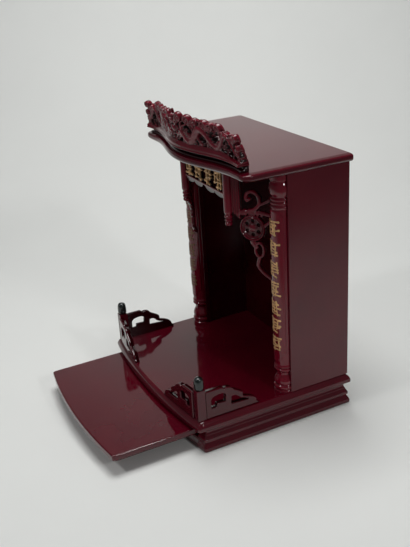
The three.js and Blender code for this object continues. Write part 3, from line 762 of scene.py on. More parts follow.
def smooth_path(points, steps=8):
    """A Catmull-Rom path through given points."""
    p = np.asarray(points, float)
    p = np.vstack([2 * p[0] - p[1], p, 2 * p[-1] - p[-2]])
    path = []
    for k in range(1, len(p) - 2):
        for t in np.linspace(0, 1, steps, endpoint=False):
            path.append(
                0.5
                * (
                    2 * p[k]
                    + (p[k + 1] - p[k - 1]) * t
                    + (2 * p[k - 1] - 5 * p[k] + 4 * p[k + 1] - p[k + 2]) * t**2
                    + (3 * p[k] - p[k - 1] - 3 * p[k + 1] + p[k + 2]) * t**3
                )
            )
    path.append(p[-2])
    return np.array(path)


CLEAR_OF_CORNER = 0.08  # an outline crosses a cell's side at least this share of it away from a corner


def cell_polygons(inside):
    """Grid points, edge crossings and the polygons of the grid cells inside an outline."""
    held = inside > 0
    points, ids = [], {}

    def point_id(key, at):
        """Number of a point, which is kept once however many cells share it."""
        if key not in ids:
            ids[key] = len(points)
            points.append(at)
        return ids[key]

    full = held[:-1, :-1] & held[1:, :-1] & held[1:, 1:] & held[:-1, 1:]
    some = (held[:-1, :-1] | held[1:, :-1] | held[1:, 1:] | held[:-1, 1:]) & ~full
    columns = [[] for _ in range(inside.shape[0] - 1)]
    rim = []
    for i, j in np.argwhere(full | some):
        corners = [(i, j), (i + 1, j), (i + 1, j + 1), (i, j + 1)]
        if full[i, j]:
            columns[i].append([point_id(c, c) for c in corners])
            continue
        polygon, crossing = [], []
        for k, corner in enumerate(corners):
            after = corners[(k + 1) % 4]
            if held[corner]:
                polygon.append(point_id(corner, corner))
                crossing.append(False)
            if held[corner] != held[after]:
                first, second = sorted((corner, after))
                share = inside[first] / (inside[first] - inside[second])
                share = min(max(share, CLEAR_OF_CORNER), 1 - CLEAR_OF_CORNER)
                at = tuple(f + (s - f) * share for f, s in zip(first, second))
                polygon.append(point_id((first, second), at))
                crossing.append(True)
        columns[i].append(polygon)
        for k in range(len(polygon)):
            following = (k + 1) % len(polygon)
            if crossing[k] and crossing[following]:
                rim.append((polygon[k], polygon[following]))
    on_grid = np.array([isinstance(key[0], (int, np.integer)) for key in ids])
    return np.array(points, float), columns, rim, on_grid


def strip_loops(polygons, on_grid):
    """Outlines of one column of cells, without the grid points inside it."""
    edges = set()
    for polygon in polygons:
        for k, a in enumerate(polygon):
            b = polygon[(k + 1) % len(polygon)]
            if (b, a) in edges:
                edges.remove((b, a))
            else:
                edges.add((a, b))
    follows = dict(sorted(edges))
    loops = []
    while follows:
        at = next(iter(follows))
        loop = []
        while at in follows:
            loop.append(at)
            at = follows.pop(at)
        loops.append([v for v in loop if not on_grid[v]])
    return loops


BACK_SHADE = 0.3  # share of painted shade on the plain backs of carved pieces


def even_depth(depth):
    """A flat back at one depth."""
    return lambda x, z: np.full_like(x, depth)


def carved_panel(carving, inside, place, back_depth, sink, rounding):
    """Points, faces, flat faces and painted shade of each point of a pierced panel.

    place(x, z, depth) gives the point at a depth behind the panel's front plane, and back_depth(x, z) how
    deep its back lies. Ground that no stroke raises lies at the depth sink.
    """
    at, columns, rim, on_grid = cell_polygons(inside)
    i, j = at[:, 0], at[:, 1]
    x = np.interp(i, np.arange(len(carving.xs)), carving.xs)
    z = np.interp(j, np.arange(len(carving.zs)), carving.zs)
    rise = grid_value(carving.rise, i, j)
    edge = np.clip(grid_value(inside, i, j) / rounding, 0, 1)
    drop = rounding * (1 - np.sqrt(np.clip(1 - (1 - edge) ** 2, 0, 1)))
    front = place(x, z, sink - rise + drop)
    back = place(x, z, back_depth(x, z))
    count = len(front)
    faces = [tuple(polygon) for column in columns for polygon in column]
    flat = []
    for column in columns:
        for loop in strip_loops(column, on_grid):
            if len(loop) > 2:
                flat.append(len(faces))
                faces.append(tuple(v + count for v in reversed(loop)))
    faces += [(a, a + count, b + count, b) for a, b in rim]
    # Painted shade: the lower a front point lies below the strokes, the darker it is painted; backs get a
    # fixed share.
    hollow = np.clip(1 - rise / max(sink, 1e-6), 0, 1)
    points = np.vstack([front, back])
    used = np.zeros(len(points), bool)
    used[np.concatenate([np.asarray(face) for face in faces])] = True
    fresh = np.cumsum(used) - 1
    faces = [tuple(int(v) for v in fresh[list(face)]) for face in faces]
    shade = np.concatenate([hollow, np.full(count, BACK_SHADE)])
    return points[used], faces, flat, shade[used]


def grid_value(grid, i, j):
    """Values of a grid between its points."""
    i0 = np.clip(np.floor(i).astype(int), 0, grid.shape[0] - 2)
    j0 = np.clip(np.floor(j).astype(int), 0, grid.shape[1] - 2)
    u, v = i - i0, j - j0
    low = grid[i0, j0] * (1 - u) + grid[i0 + 1, j0] * u
    high = grid[i0, j0 + 1] * (1 - u) + grid[i0 + 1, j0 + 1] * u
    return low * (1 - v) + high * v


def grid_line(low, high, pitch):
    """Evenly spaced grid lines that reach from low to high, symmetric about their middle."""
    count = max(int(math.ceil((high - low) / pitch)), 2)
    return np.linspace(low, high, count + 1)


# ---------------------------------------------------------------- crest

CREST_RAIL = CREST_LOW[2] + 12.2
CREST_RAIL_TOP = CREST_RAIL + 9.5
CREST_COVE = 16.5  # height of the rail with the slope above it, which is lower near the ends
CREST_SINK = 7.0  # depth of the ground behind the front plane
# Shares of painted shade on the rail and on the strip under it, which lies in the rail's shadow.
RAIL_SHADE, FOOT_SHADE = 0.28, 0.7
# How far the rail stands out from the sunk ground: a round edge, a nearly upright face, then a slope.
RAIL_HEIGHTS = (0, 1.0, 2.2, 3.3, 4.5, 8.6, 11.0, CREST_COVE)
RAIL_PROUD = (12.9, 13.8, 13.6, 12.2, 11.8, 11.2, 9.6, 4.3)
CREST_BODY = 208.0  # the carved part between the end scallops reaches this far
CREST_END = 210.0  # the rail under them ends here
CREST_LEAN = math.tan(math.radians(12))
CREST_FRONT = -251.6  # middle of the wave that the rail's front follows ...
CREST_SWING = 15.1  # ... how far it swings to each side of it ...
CREST_WAVE = 172.5  # ... and how far its rearmost point is from the middle
DRAGON_LEVEL = 617  # height about which the dragon's body winds ...
DRAGON_SWING = 15.5
DRAGON_TOP = 86  # ... the distance of its highest hump from the middle ...
DRAGON_WAVE = 78  # ... and from hump to hump
PEARL = (0, 624)
PEARL_RING = 12.2
# Middle and radius of each lobe of the upper edge, right half.
CREST_LOBES = [
    (0, 652, 14), (24, 648, 15), (50, 647, 14), (73, 645, 11), (97, 643, 13), (117, 640, 13),
    (137, 641.5, 12.5), (158, 629, 12), (181, 627, 12.5), (201.5, 633.5, 11.5), (204, 617, 9),
    (203.5, 604, 9), (206, 592, 7),
]
# Middle and half axes of the larger openings, right half.
CREST_OPENINGS = [
    (20, 634, 5, 4), (56, 622, 5, 5), (88, 617.5, 9.5, 6), (132, 622.5, 10.5, 5.5), (170, 611, 6, 5),
]
# Middle, radius and hand of the scrolls on the ground.
GROUND_SCROLLS = [
    (12, 606, 8, 1), (62, 607, 7, -1), (86, 605, 6, 1), (108, 606, 6, 1), (150, 607, 7, -1),
    (168, 604, 6, 1), (190, 608, 7, -1), (64, 634, 7, 1), (107, 637, 7, -1), (147, 633, 6, 1),
    (176, 622, 6, -1),
]
# Foot and lean, in radians, of the leaf blades that stand on the rail.
RAIL_BLADES = [
    (28, -0.3), (36, 0.0), (70, -0.5), (77, -0.2), (98, 0.1), (104, 0.5), (124, -0.3), (136, 0.2),
    (159, -0.1), (179, 0.3), (199, 0.1), (206, 0.25),
]


def crest_front(x):
    """Front of the rail: it waves forward in the middle and back towards the ends."""
    return CREST_FRONT - CREST_SWING * np.cos(np.pi * x / CREST_WAVE)


def crest_place(x, z, depth):
    """Point of the crest at a depth behind its leaning, serpentine front."""
    return np.stack([x, crest_front(x) - (z - CREST_RAIL) * CREST_LEAN + depth, z], axis=-1)


def dragon_height(x):
    """Height of the dragon's body as it winds outwards."""
    return DRAGON_LEVEL + DRAGON_SWING * np.cos(2 * np.pi * (x - DRAGON_TOP) / DRAGON_WAVE)


def tapered(carving, points, thick, thin, rise, style="round"):
    """A stroke along a smooth path that thins evenly towards its end."""
    path = smooth_path(points)
    carving.stroke(path, np.linspace(thick, thin, len(path)), rise, style)


def scroll(carving, centre, radius, turns, start, hand, thick, thin, rise):
    """A grooved scroll that thins as it winds inwards."""
    path = spiral(centre, radius, turns, start, hand)
    carving.stroke(path, np.linspace(thick, thin, len(path)), rise, "groove")


def carve_dragon_body(carving):
    """Scaled body that thins towards the tail, with a row of fins and a tufted tail."""
    xs = np.linspace(46, 200, 90)
    body = np.stack([xs, dragon_height(xs)], axis=1)
    thick = np.interp(xs, (46, 110, 200), (9.5, 8.2, 3.0))
    carving.stroke(body, thick, 7.4, "scales")
    for x in np.arange(50, 194, 5.2):
        slope = math.atan2(dragon_height(x + 1) - dragon_height(x - 1), 2.0)
        r = float(np.interp(x, (46, 200), (9.0, 3.4)))
        sine, cosine = math.sin(slope), math.cos(slope)
        root = np.array((x - sine * r, dragon_height(x) + cosine * r))
        tip = root + (3.6 * cosine - 4.2 * sine, 4.6 * cosine + 3.0 * sine)
        carving.stroke([root, tip], (2.4, 0.9), 5.6)
    for k in range(4):
        tapered(carving, [(197, 611), (203, 616 - 5 * k), (210 - k, 614 - 9 * k)], 2.6, 1.0, 6.2)


def carve_dragon_head(carving):
    """Neck, head, horns, mane and whisker, facing the pearl."""
    neck = smooth_path([(47, 599), (38, 606), (33, 614), (28, 620)])
    carving.stroke(neck, (9.5,) * (len(neck) - 1) + (8.5,), 7.4, "scales")
    carving.dot((27, 621), 9.0, 8.0)
    carving.stroke([(24, 617), (15, 613)], (6.0, 4.2), 8.0)
    carving.stroke([(25, 612), (17, 605.5)], (3.6, 2.2), 6.4)
    carving.dot((13.5, 615.5), 2.4, 9.0)
    carving.dot((26, 624), 2.2, 10.2)
    tapered(carving, [(31, 627), (38, 634), (47, 637), (55, 643)], 3.4, 1.4, 7.6)
    tapered(carving, [(29, 630), (33, 640), (42, 645)], 2.6, 1.2, 7.0)
    for k in range(5):
        swing = 0.35 * k - 0.3
        middle = (44 + 2 * k, 623 - 4 * k + 4 * swing)
        tapered(carving, [(35 + 1.5 * k, 620 - 4 * k), middle, (52 + 2 * k, 620 - 3 * k)], 2.4, 0.9, 6.2)
    tapered(carving, [(13, 611), (5, 606), (2, 599), (9, 595)], 1.9, 1.1, 6.2)


def carve_dragon_legs(carving):
    """Two bent legs, each with four claws."""
    for hip, knee, foot, first_claw in (
        ((84, 630), (76, 616), (84, 604), -150),
        ((132, 604), (139, 612), (128, 622), 20),
    ):
        tapered(carving, [hip, knee, foot], 5.2, 2.8, 7.0, "ribs")
        for k in range(4):
            angle = math.radians(first_claw + 42 * k)
            tip = (foot[0] + 8 * math.cos(angle), foot[1] + 8 * math.sin(angle))
            carving.stroke([foot, tip], (2.2, 0.9), 6.6)


def carve_clouds(carving):
    """Scrolls along the edge and the rail, with leaf blades between them."""
    for k, (x, z, r) in enumerate(CREST_LOBES[1:]):
        hand = 1 if k % 2 else -1
        start = math.radians(-60 if hand > 0 else 240)
        scroll(carving, (x, z), 0.74 * r, 1.35, start, hand, 0.27 * r, 0.15 * r, 5.6)
        carving.dot((x, z), 0.2 * r, 6.2)
    for x, z, r, hand in GROUND_SCROLLS:
        scroll(carving, (x, z), 0.8 * r, 1.3, 0.6 * x, hand, 0.26 * r, 0.13 * r, 6.0)
    for x, lean in RAIL_BLADES:
        foot = np.array((x, float(cove_top(x)) - 1))
        tip = foot + 14 * np.array((math.sin(lean), math.cos(lean)))
        bend = (foot + tip) / 2 + (2.5 * math.cos(lean), 0)
        tapered(carving, [foot, bend, tip], 3.0, 0.8, 5.6, "groove")


CURL_ROWS = np.arange(604.0, 652.0, 7.6)  # heights of the rows of small curls
CURL_PITCH = 8.2
CURL_ROOM = 2.4  # a curl needs at least this much free ground round its middle


def near_opening(x, z):
    """Whether a point lies in or close beside one of the larger openings."""
    return any(math.hypot((x - cx) / a, (z - cz) / b) < 1.25 for cx, cz, a, b in CREST_OPENINGS)


def carve_curls(carving):
    """Small curls that fill whatever room the larger forms leave."""
    for row, z in enumerate(CURL_ROWS):
        for column, x in enumerate(np.arange(5.0 + CURL_PITCH / 2 * (row % 2), 206.0, CURL_PITCH)):
            x = x + 1.3 * math.sin(3.1 * row + 1.7 * column)
            i, j = np.searchsorted(carving.xs, x), np.searchsorted(carving.zs, z)
            room = -carving.cover[i, j]
            if room < CURL_ROOM or near_opening(x, z):
                continue
            r = min(4.4, room + 0.9)
            start = 1.9 * row + 2.3 * column
            hand = 1 if (row + column) % 2 else -1
            path = spiral((x, z), r, 0.85, start, hand, 0.3, 14)
            carving.stroke(path, np.linspace(1.5, 0.9, len(path)), 5.0 + 1.6 * math.sin(start) ** 2)


def carve_pearl(carving):
    """The pearl in the middle with its flames."""
    carving.dot(PEARL, 9.5, 8.5)
    carving.stroke(arc(PEARL, PEARL_RING, 0, 360, 40), 1.7, 5.8)
    for k in range(-2, 3):
        lean = 0.42 * k
        foot = np.array((14 * math.sin(lean), PEARL[1] + 14 * math.cos(lean)))
        tip = foot + (24 - 4 * abs(k)) * np.array((math.sin(lean * 1.3), math.cos(lean * 1.3)))
        bend = (foot + tip) / 2 + (3.0 if k % 2 else -3.0, 0)
        tapered(carving, [foot, bend, tip], 3.6, 1.0, 6.6, "groove")


def shoulder_height(x):
    """Height of the carved ground behind the lobes of the upper edge."""
    t = np.clip((np.abs(x) - 178) / (CREST_BODY - 178), 0, 1)
    return 648 - 0.07 * np.abs(x) - 24 * t * t * (3 - 2 * t)


def crest_inside(carving):
    """Signed distance inside the crest's outline, with its openings."""
    x, z = np.abs(carving.x), carving.z
    inside = np.full(x.shape, -np.inf)
    for cx, cz, r in CREST_LOBES:
        inside = np.maximum(inside, r - np.hypot(x - cx, z - cz))
    inside = np.maximum(inside, np.minimum(shoulder_height(x) - z, CREST_BODY - x))
    inside = np.maximum(inside, np.minimum(CREST_RAIL_TOP - z, CREST_END - x))
    for cx, cz, a, b in CREST_OPENINGS:
        inside = np.minimum(inside, (np.hypot((x - cx) / a, (z - cz) / b) - 1) * min(a, b))
    return inside


def crest_back(x, z):
    """Depth of the crest's plain back: thick at the rail, thinner at the top."""
    return np.interp(z, (CREST_RAIL, CREST_HIGH[2]), (20, 11))


def cove_top(x):
    """Top of the slope above the rail, where the carving starts."""
    return CREST_RAIL + np.interp(np.abs(x), (138, 168), (CREST_COVE, 9.5))


def rail_profile(x, z):
    """Relief of the rail under the carving."""
    height = (z - CREST_RAIL) * CREST_COVE / (cove_top(x) - CREST_RAIL)
    return np.interp(height, RAIL_HEIGHTS, RAIL_PROUD)


def carved_crest(settings):
    """The crest's relief on its grid and the signed distance inside its outline."""
    edge = CREST_HIGH[0] + 2
    xs = grid_line(-edge, edge, settings.pitch)
    zs = grid_line(CREST_RAIL - 2, CREST_HIGH[2] + 2, settings.pitch)
    carving = Carving(xs, zs)
    carve_dragon_body(carving)
    carve_dragon_head(carving)
    carve_dragon_legs(carving)
    carve_clouds(carving)
    carve_pearl(carving)
    carve_curls(carving)
    half = len(xs) // 2 + 1
    carving.rise[:half] = carving.rise[::-1][:half]
    carving.cover[:half] = carving.cover[::-1][:half]
    inside = crest_inside(carving)
    x, z = np.abs(carving.x), carving.z
    above = z - cove_top(x) - 1
    open_ground = np.minimum(above, np.maximum(-carving.cover, 0) - 1.0)
    inside = np.minimum(inside, np.where(above > 0, -open_ground, np.inf))
    carving.rise = np.where(above < -1, np.maximum(carving.rise, rail_profile(x, z)), carving.rise)
    return carving, np.minimum(inside, z - CREST_RAIL)


def build_crest():
    """The carved crest with its rail and the strip it stands on, one piece."""
    settings = bpy.context.scene.altar_carving
    carving, inside = carved_crest(settings)
    points, faces, flat, hollow = carved_panel(
        carving, inside, crest_place, crest_back, CREST_SINK, settings.rounding
    )
    points[:, 2] = np.minimum(points[:, 2], CREST_HIGH[2])
    foot_points, foot_faces = crest_foot()
    faces += [tuple(v + len(points) for v in face) for face in foot_faces]
    # Painted shade: most on the low ground between strokes, less on the lit upper lobes, a little on the
    # rail.
    below_edge = shoulder_height(points[:, 0]) - points[:, 2]
    hollow *= np.interp(below_edge, (-6, 16), (0.35, 1.0))
    hollow = np.maximum(hollow, np.where(points[:, 2] < cove_top(points[:, 0]), RAIL_SHADE, 0.0))
    hollow = np.concatenate([hollow, np.full(len(foot_points), FOOT_SHADE)])
    points = np.vstack([points, foot_points])
    new_piece(
        "crest_carved",
        points,
        faces,
        "carved_lacquer",
        stands_for=("crest",),
        flat_faces=flat,
        hollow=hollow,
    )


def crest_foot():
    """Strip on the roof that carries the crest: a round toe, then a face set back behind the rail."""
    xs = np.linspace(-207, 207, 81)
    back = [(x, crest_front(x) + 19.6) for x in xs[::-1]]
    toe = ((1.5, 0), (1.5, 1.2), (2.0, 2.6), (3.2, 3.8), (4.8, 4.4), (8.2, 4.7), (9, 5.6), (9, 13.2))
    outlines = [[(x, crest_front(x) + behind) for x in xs] + back for behind, _ in toe]
    return stacked(outlines, [CREST_LOW[2] + up for _, up in toe])


# ---------------------------------------------------------------- raised gold marks

MARK_ROWS = 5  # dashes above one another in a group
MARK_RISE = 1.0
MARK_ROUNDING = 0.5
MARK_UPRIGHTS = 3


def carve_marks(carving, centres, width, height, thick, first_seed=0):
    """Loose groups of brush-shaped dashes crossed by short uprights; they spell nothing."""
    for k, (x, z) in enumerate(centres):
        seed = k + first_seed
        for row in range(MARK_ROWS):
            swing = math.sin(seed * 2.3 + row * 1.9)
            half = width * (0.39 - 0.11 * math.cos(seed + row * 2.6))
            tilt = 0.1 * (1 if row % 2 else -1) + 0.16 * swing
            middle = np.array((x + 0.12 * width * swing, z + height * ((row + 0.5) / MARK_ROWS - 0.5)))
            reach = half * np.array((math.cos(tilt), math.sin(tilt)))
            path = smooth_path([middle - reach, middle + (0, 0.8), middle + reach], 5)
            brush = np.interp(np.linspace(0, 1, 11), (0, 0.25, 0.8, 1), (0.6, 0.42, 0.36, 0.56))
            carving.stroke(path, thick * brush, MARK_RISE)
        for post in range(MARK_UPRIGHTS):
            across = width * (0.3 * (post - 1) + 0.07 * math.sin(1.7 * seed + 2.3 * post))
            lean = 0.1 * width * math.sin(2.9 * seed + 1.4 * post)
            top = z + height * (0.2 + 0.28 * abs(math.cos(1.3 * seed + 1.9 * post)))
            foot = z - height * (0.2 + 0.3 * abs(math.sin(seed + 2.1 * post)))
            middle = (x + across + lean / 3, (top + foot) / 2)
            path = smooth_path([(x + across, top), middle, (x + across + lean, foot)], 5)
            carving.stroke(path, thick * np.linspace(0.5, 0.3, 11), MARK_RISE)


# ---------------------------------------------------------------- columns

SHAFT = 20.2  # radius of the shaft
RING = 21.8  # radius of the beads
MARK_GROUP = (29, 33)  # width and height of a group of marks
MARK_BRUSH = 4.4  # width of its strokes
MARK_FIELD = (157, 462)  # heights between which the marks stand
PANEL_RAISE = 1.4
PANEL_LOW, PANEL_TOP = 144.6, 480.0
PANEL_HALF, PANEL_NARROW = 20.4, 15.0  # half widths of the panel, and of its foot and top
PANEL_ROUND = 15  # height of the round foot
PANEL_FLARE = 22  # height at which the panel has its full width
PANEL_SHOULDER = 15  # height of the slanted shoulders
COLUMN_STEPS = 96  # faces round the half column


def column_profile():
    """Radius and height of the turned column, base to abacus."""
    return [
        (22.8, CASE_FLOOR), (22.6, 74), (20.4, 76.2), (23, 79), (23.7, 82.4), (23, 85.8), (20, 88.2),
        (21.7, 90.6), (22.4, 93.6), (22, 98), (20.2, 103.6), (17.2, 109.6), (16, 114.6), (16.4, 118.4),
        (19, 121), (21.3, 123), (RING, 125.2), (21.3, 127.4), (19, 129), (21.3, 130.8), (RING, 132.8),
        (21.3, 134.8), (SHAFT, 137), (SHAFT, 481.5), (20.6, 483.2), (RING, 485.8), (21.2, 488.4),
        (19.4, 490), (21.2, 491.7), (RING, 493.8), (21.2, 495.9), (19.4, 497.6), (21.2, 499.2),
        (RING, 501.3), (21.1, 503.4), (18.6, 505.4), (19.8, 508.4), (21.8, 512.6), (23.1, 518),
        (23.3, 524), (22.4, 530), (20, 535.6), (19.2, 538.4), (21.8, 540.2), (21.8, CASE_TOP),
    ]


def panel_corners():
    """Outline of the raised panel, by arc length and height: round foot and slanted shoulders."""
    radius = SHAFT + PANEL_RAISE
    wide, narrow = (radius * math.asin(half / radius) for half in (PANEL_HALF, PANEL_NARROW))
    round_foot = PANEL_LOW + PANEL_ROUND
    foot = [
        (narrow * math.cos(a), round_foot - PANEL_ROUND * math.sin(a)) for a in np.linspace(0, np.pi, 17)
    ]
    shoulder = PANEL_TOP - PANEL_SHOULDER
    return foot + [
        (-wide, PANEL_LOW + PANEL_FLARE), (-wide, shoulder), (-narrow, PANEL_TOP),
        (narrow, PANEL_TOP), (wide, shoulder), (wide, PANEL_LOW + PANEL_FLARE),
    ]


def column_body():
    """Right-hand column, a turned half round with the raised panel pressed out of its shaft."""
    profile = rounded_profile(column_profile(), 1.6, 3)
    heights = np.unique(np.concatenate([profile[:, 1], np.arange(PANEL_LOW - 3, PANEL_TOP + 3, 2.0)]))
    heights = heights[(heights >= CASE_FLOOR) & (heights <= CASE_TOP)]
    radii = np.interp(heights, profile[:, 1], profile[:, 0])
    angles = np.radians(np.linspace(180, 360, COLUMN_STEPS + 1))
    a, z = np.meshgrid(angles, heights)
    r = np.repeat(radii[:, None], len(angles), axis=1)
    arc_length = (a - 1.5 * np.pi) * (SHAFT + PANEL_RAISE)
    inside = polygon_inside(arc_length, z, panel_corners())
    t = np.clip((inside + 0.4) / 1.6, 0, 1)
    r = r + PANEL_RAISE * t * t * (3 - 2 * t) * ((z > PANEL_LOW - 2) & (z < PANEL_TOP + 2))
    x, y = COLUMN_X + r * np.cos(a), COLUMN_Y + r * np.sin(a)
    points = np.stack([x, y, z], axis=-1).reshape(-1, 3)
    wide, tall = len(angles), len(heights)
    faces = [
        (k * wide + i, k * wide + i + 1, (k + 1) * wide + i + 1, (k + 1) * wide + i)
        for k in range(tall - 1)
        for i in range(wide - 1)
    ]
    left = [k * wide for k in range(tall)]
    right = [k * wide + wide - 1 for k in range(tall)]
    flat = [len(faces), len(faces) + 1, len(faces) + 2]
    faces.append(tuple(reversed(range(wide))))
    faces.append(tuple(range((tall - 1) * wide, tall * wide)))
    faces.append(tuple(left + right[::-1]))
    return points, faces, flat


MARK_CENTRES = [443.0, 400.0, 355.5, 312.0, 269.5, 230.0, 187.5]
MARK_PROUD = 0.9  # how far the marks stand out of the panel ...
MARK_BEDDED = 0.2  # ... and how deep they reach into it


def column_marks():
    """Seven groups of raised gold dashes down the panel, wrapped round the shaft."""
    pitch = max(0.45, bpy.context.scene.altar_carving.pitch * 0.6)
    radius = SHAFT + PANEL_RAISE
    xs = grid_line(-25, 25, pitch)
    zs = grid_line(*MARK_FIELD, pitch)
    carving = Carving(xs, zs)
    carve_marks(carving, [(0, z) for z in MARK_CENTRES], *MARK_GROUP, MARK_BRUSH)

    def place(s, z, depth):
        angle = 1.5 * np.pi + s / radius
        r = radius + MARK_PROUD - depth
        return np.stack([COLUMN_X + r * np.cos(angle), COLUMN_Y + r * np.sin(angle), z], axis=-1)

    back = even_depth(MARK_PROUD + MARK_BEDDED)
    points, faces, flat, _ = carved_panel(carving, carving.cover, place, back, MARK_RISE, MARK_ROUNDING)
    return points, faces, flat


# ---------------------------------------------------------------- pendants, valance and brackets


def pendant_body():
    """Turned drop: long shaft, beads and a ball, right-hand side."""
    r = (PENDANT_HIGH[1] - PENDANT_LOW[1]) / 2
    low = PENDANT_LOW[2]
    profile = [
        (0.4, low), (3.6, low + 0.3), (6.6, low + 2.2), (7.8, low + 5.6), (6.8, low + 8.4),
        (5.2, low + 9.8), (7.4, low + 11.2), (8.2, low + 13), (7.4, low + 14.8), (5.4, low + 16.2),
        (7.8, low + 18.4), (8.6, low + 20.6), (7.8, low + 22.8), (6.2, low + 24.4), (7.8, low + 27),
        (r - 0.4, low + 29.4), (r, low + 32), (r, CASE_TOP),
    ]
    points, faces = turned(rounded_profile(profile, 1.4, 3), 48)
    return np.asarray(points) + (PENDANT_X, PENDANT_Y, 0), faces


def valance_corners():
    """Scalloped lower edge with two lobes on each side of the middle notch."""
    half, low = VALANCE_HIGH[0], VALANCE_LOW[2]
    right = [(half, CASE_TOP + 2), (half, low + 9)]
    for centre in (68, 27):
        for a in np.linspace(0, np.pi, 13):
            right.append((centre + 20 * math.cos(a), low + 7 - 7 * math.sin(a)))
    right.append((0, low + 11))
    return right + [(-x, z) for x, z in right[-2::-1]]


VALANCE_GROUPS = 4
VALANCE_BRUSH = 4.2  # width of a mark's strokes
VALANCE_BAND = 14.5  # height of the plain cloud band along the lower edge
VALANCE_THICK = 8.0
VALANCE_SINK = 3.4
VALANCE_ROUNDING = 0.8
VALANCE_SPINE = 4.0  # half width of the upright that carries each group of marks


def valance_groups():
    """Where the groups of marks stand, and how much room each has."""
    half = VALANCE_HIGH[0]
    width = 2 * half / VALANCE_GROUPS
    middle = (VALANCE_LOW[2] + VALANCE_BAND + CASE_TOP - 4) / 2
    return [(-half + width * (i + 0.5), middle) for i in range(VALANCE_GROUPS)], width


def valance_place(x, z, depth):
    """Point of the valance at a depth behind its front plane."""
    return np.stack([x, np.full_like(x, VALANCE_LOW[1] + 1.0) + depth, z], axis=-1)


def carve_cloud_band(carving):
    """Plain band along the scalloped edge that falls back a little towards its foot."""
    height = carving.z - VALANCE_LOW[2]
    carving.rise = np.interp(height, (0, 3, VALANCE_BAND - 1, VALANCE_BAND), (0.4, 0.8, 3.4, 0.8))


def build_valance():
    """Pierced board and, on it, the raised gold groups."""
    pitch = bpy.context.scene.altar_carving.pitch * 0.75
    half, low = VALANCE_HIGH[0], VALANCE_LOW[2]
    xs, zs = grid_line(-half - 1, half + 1, pitch), grid_line(low - 1, CASE_TOP + 1, pitch)
    marks, carving = Carving(xs, zs), Carving(xs, zs)
    centres, width = valance_groups()
    tall = CASE_TOP - low - VALANCE_BAND - 6
    carve_marks(marks, centres, width * 0.68, tall, VALANCE_BRUSH, first_seed=3)
    carve_cloud_band(carving)
    spine = np.max([VALANCE_SPINE - np.abs(marks.x - x) for x, _ in centres], axis=0)
    frame = np.maximum(low + VALANCE_BAND - marks.z, marks.z - CASE_TOP + 4)
    frame = np.maximum(frame, np.maximum(np.abs(marks.x) - half + 3, spine))
    inside = np.minimum(polygon_inside(carving.x, carving.z, valance_corners()), CASE_TOP - carving.z)
    inside = np.minimum(inside, np.maximum(frame, marks.cover + 0.9))
    back = even_depth(VALANCE_THICK)
    # Painted shade: the board takes carving lacquer darkened for the shade under the roof, more in its
    # recesses.
    points, faces, flat, hollow = carved_panel(
        carving, inside, valance_place, back, VALANCE_SINK, VALANCE_ROUNDING
    )
    new_piece(
        "valance_carved",
        points,
        faces,
        "deep_lacquer",
        stands_for=("valance",),
        flat_faces=flat,
        hollow=hollow,
    )

    def proud(x, z, depth):
        return valance_place(x, z, depth - MARK_RISE)

    back = even_depth(5.0)
    points, faces, flat, _ = carved_panel(marks, marks.cover, proud, back, MARK_RISE, MARK_ROUNDING)
    new_piece("valance_marks", points, faces, "gold_paint", flat_faces=flat)


BRACKET_RING = (53.6, 430.5)  # middle of the medallion ...
BRACKET_ROUND = 28.0  # ... and its radius
BRACKET_THICK = 9.0
BRACKET_SINK = 5.0
BRACKET_ROUNDING = 1.2
BRACKET_SHADE = 0.45  # share of the carving's painted shade in its recesses that the brackets get
BRACKET_LOW = 318.0
BRACKET_HOLES = 6
BRACKET_HOLE = 3.8  # radius of the medallion's holes ...
BRACKET_HOLES_OUT = 14.6  # ... and how far out they stand


def bracket_reach():
    """Distance from the pendant's middle to the column's face."""
    run = math.hypot(COLUMN_X - PENDANT_X, COLUMN_Y - PENDANT_Y)
    return run - RING - JOINT


def carve_bracket(carving):
    """The bracket's scroll, ribs, links, loop and tail; returns the signed distance inside them."""
    end = bracket_reach() + 4
    start = (PENDANT_HIGH[0] - PENDANT_LOW[0]) / 2 + 0.5
    arch = [(41, 494), (43, 502), (53, 507), (64, 503), (70, 493), (69, 481), (60, 471), (46, 465), (34, 460)]
    tapered(carving, arch, 3.7, 4.6, 4.6, "groove")
    carving.stroke(smooth_path([(49, 491), (44, 487), (40, 493), (42, 502)]), 2.6, 4.8)
    carving.dot((47.5, 491), 3.2, 5.0)
    carving.stroke(smooth_path([(24, 458), (38, 464), (54, 462), (70, 464), (end, 460)]), 4.5, 3.8)
    for k in range(6):
        foot = np.array((31 + 8.8 * k, 459.0))
        tip = foot + (2.4 * (k - 2.5), 11.5 - abs(k - 2.5))
        carving.stroke([foot, tip], (3.4, 1.2), 5.0, "groove")
    tapered(carving, [(67, 480), (79, 485), (end, 496)], 3.1, 4.2, 4.2, "groove")
    carving.stroke(smooth_path([(76, 434), (86, 442), (end, 452)]), 4.0, 3.4, "groove")
    tapered(carving, [(53, 406), (54, 399), (60, 391)], 7.0, 6.0, 3.8)
    around = np.radians(np.linspace(0, 360, 41))
    loop = np.stack([68 + 9.4 * np.cos(around), 384.5 + 15.2 * np.sin(around)], axis=1)
    carving.stroke(loop, 3.3, 4.6, "groove")
    tapered(carving, [(67, 367), (64, 350), (74, 336), (end, 320)], 4.2, 3.8, 4.2, "groove")
    corners = [(start, CASE_TOP + 3), (start, 461), (27, 447), (27, CASE_TOP + 3)]
    strip = polygon_inside(carving.x, carving.z, corners)
    ribs = 3.4 + 1.2 * np.cos(2 * np.pi * (carving.x - start) / 5.6)
    carving.rise = np.where(strip > 0, np.maximum(carving.rise, ribs), carving.rise)
    return np.maximum(carving.cover, strip)


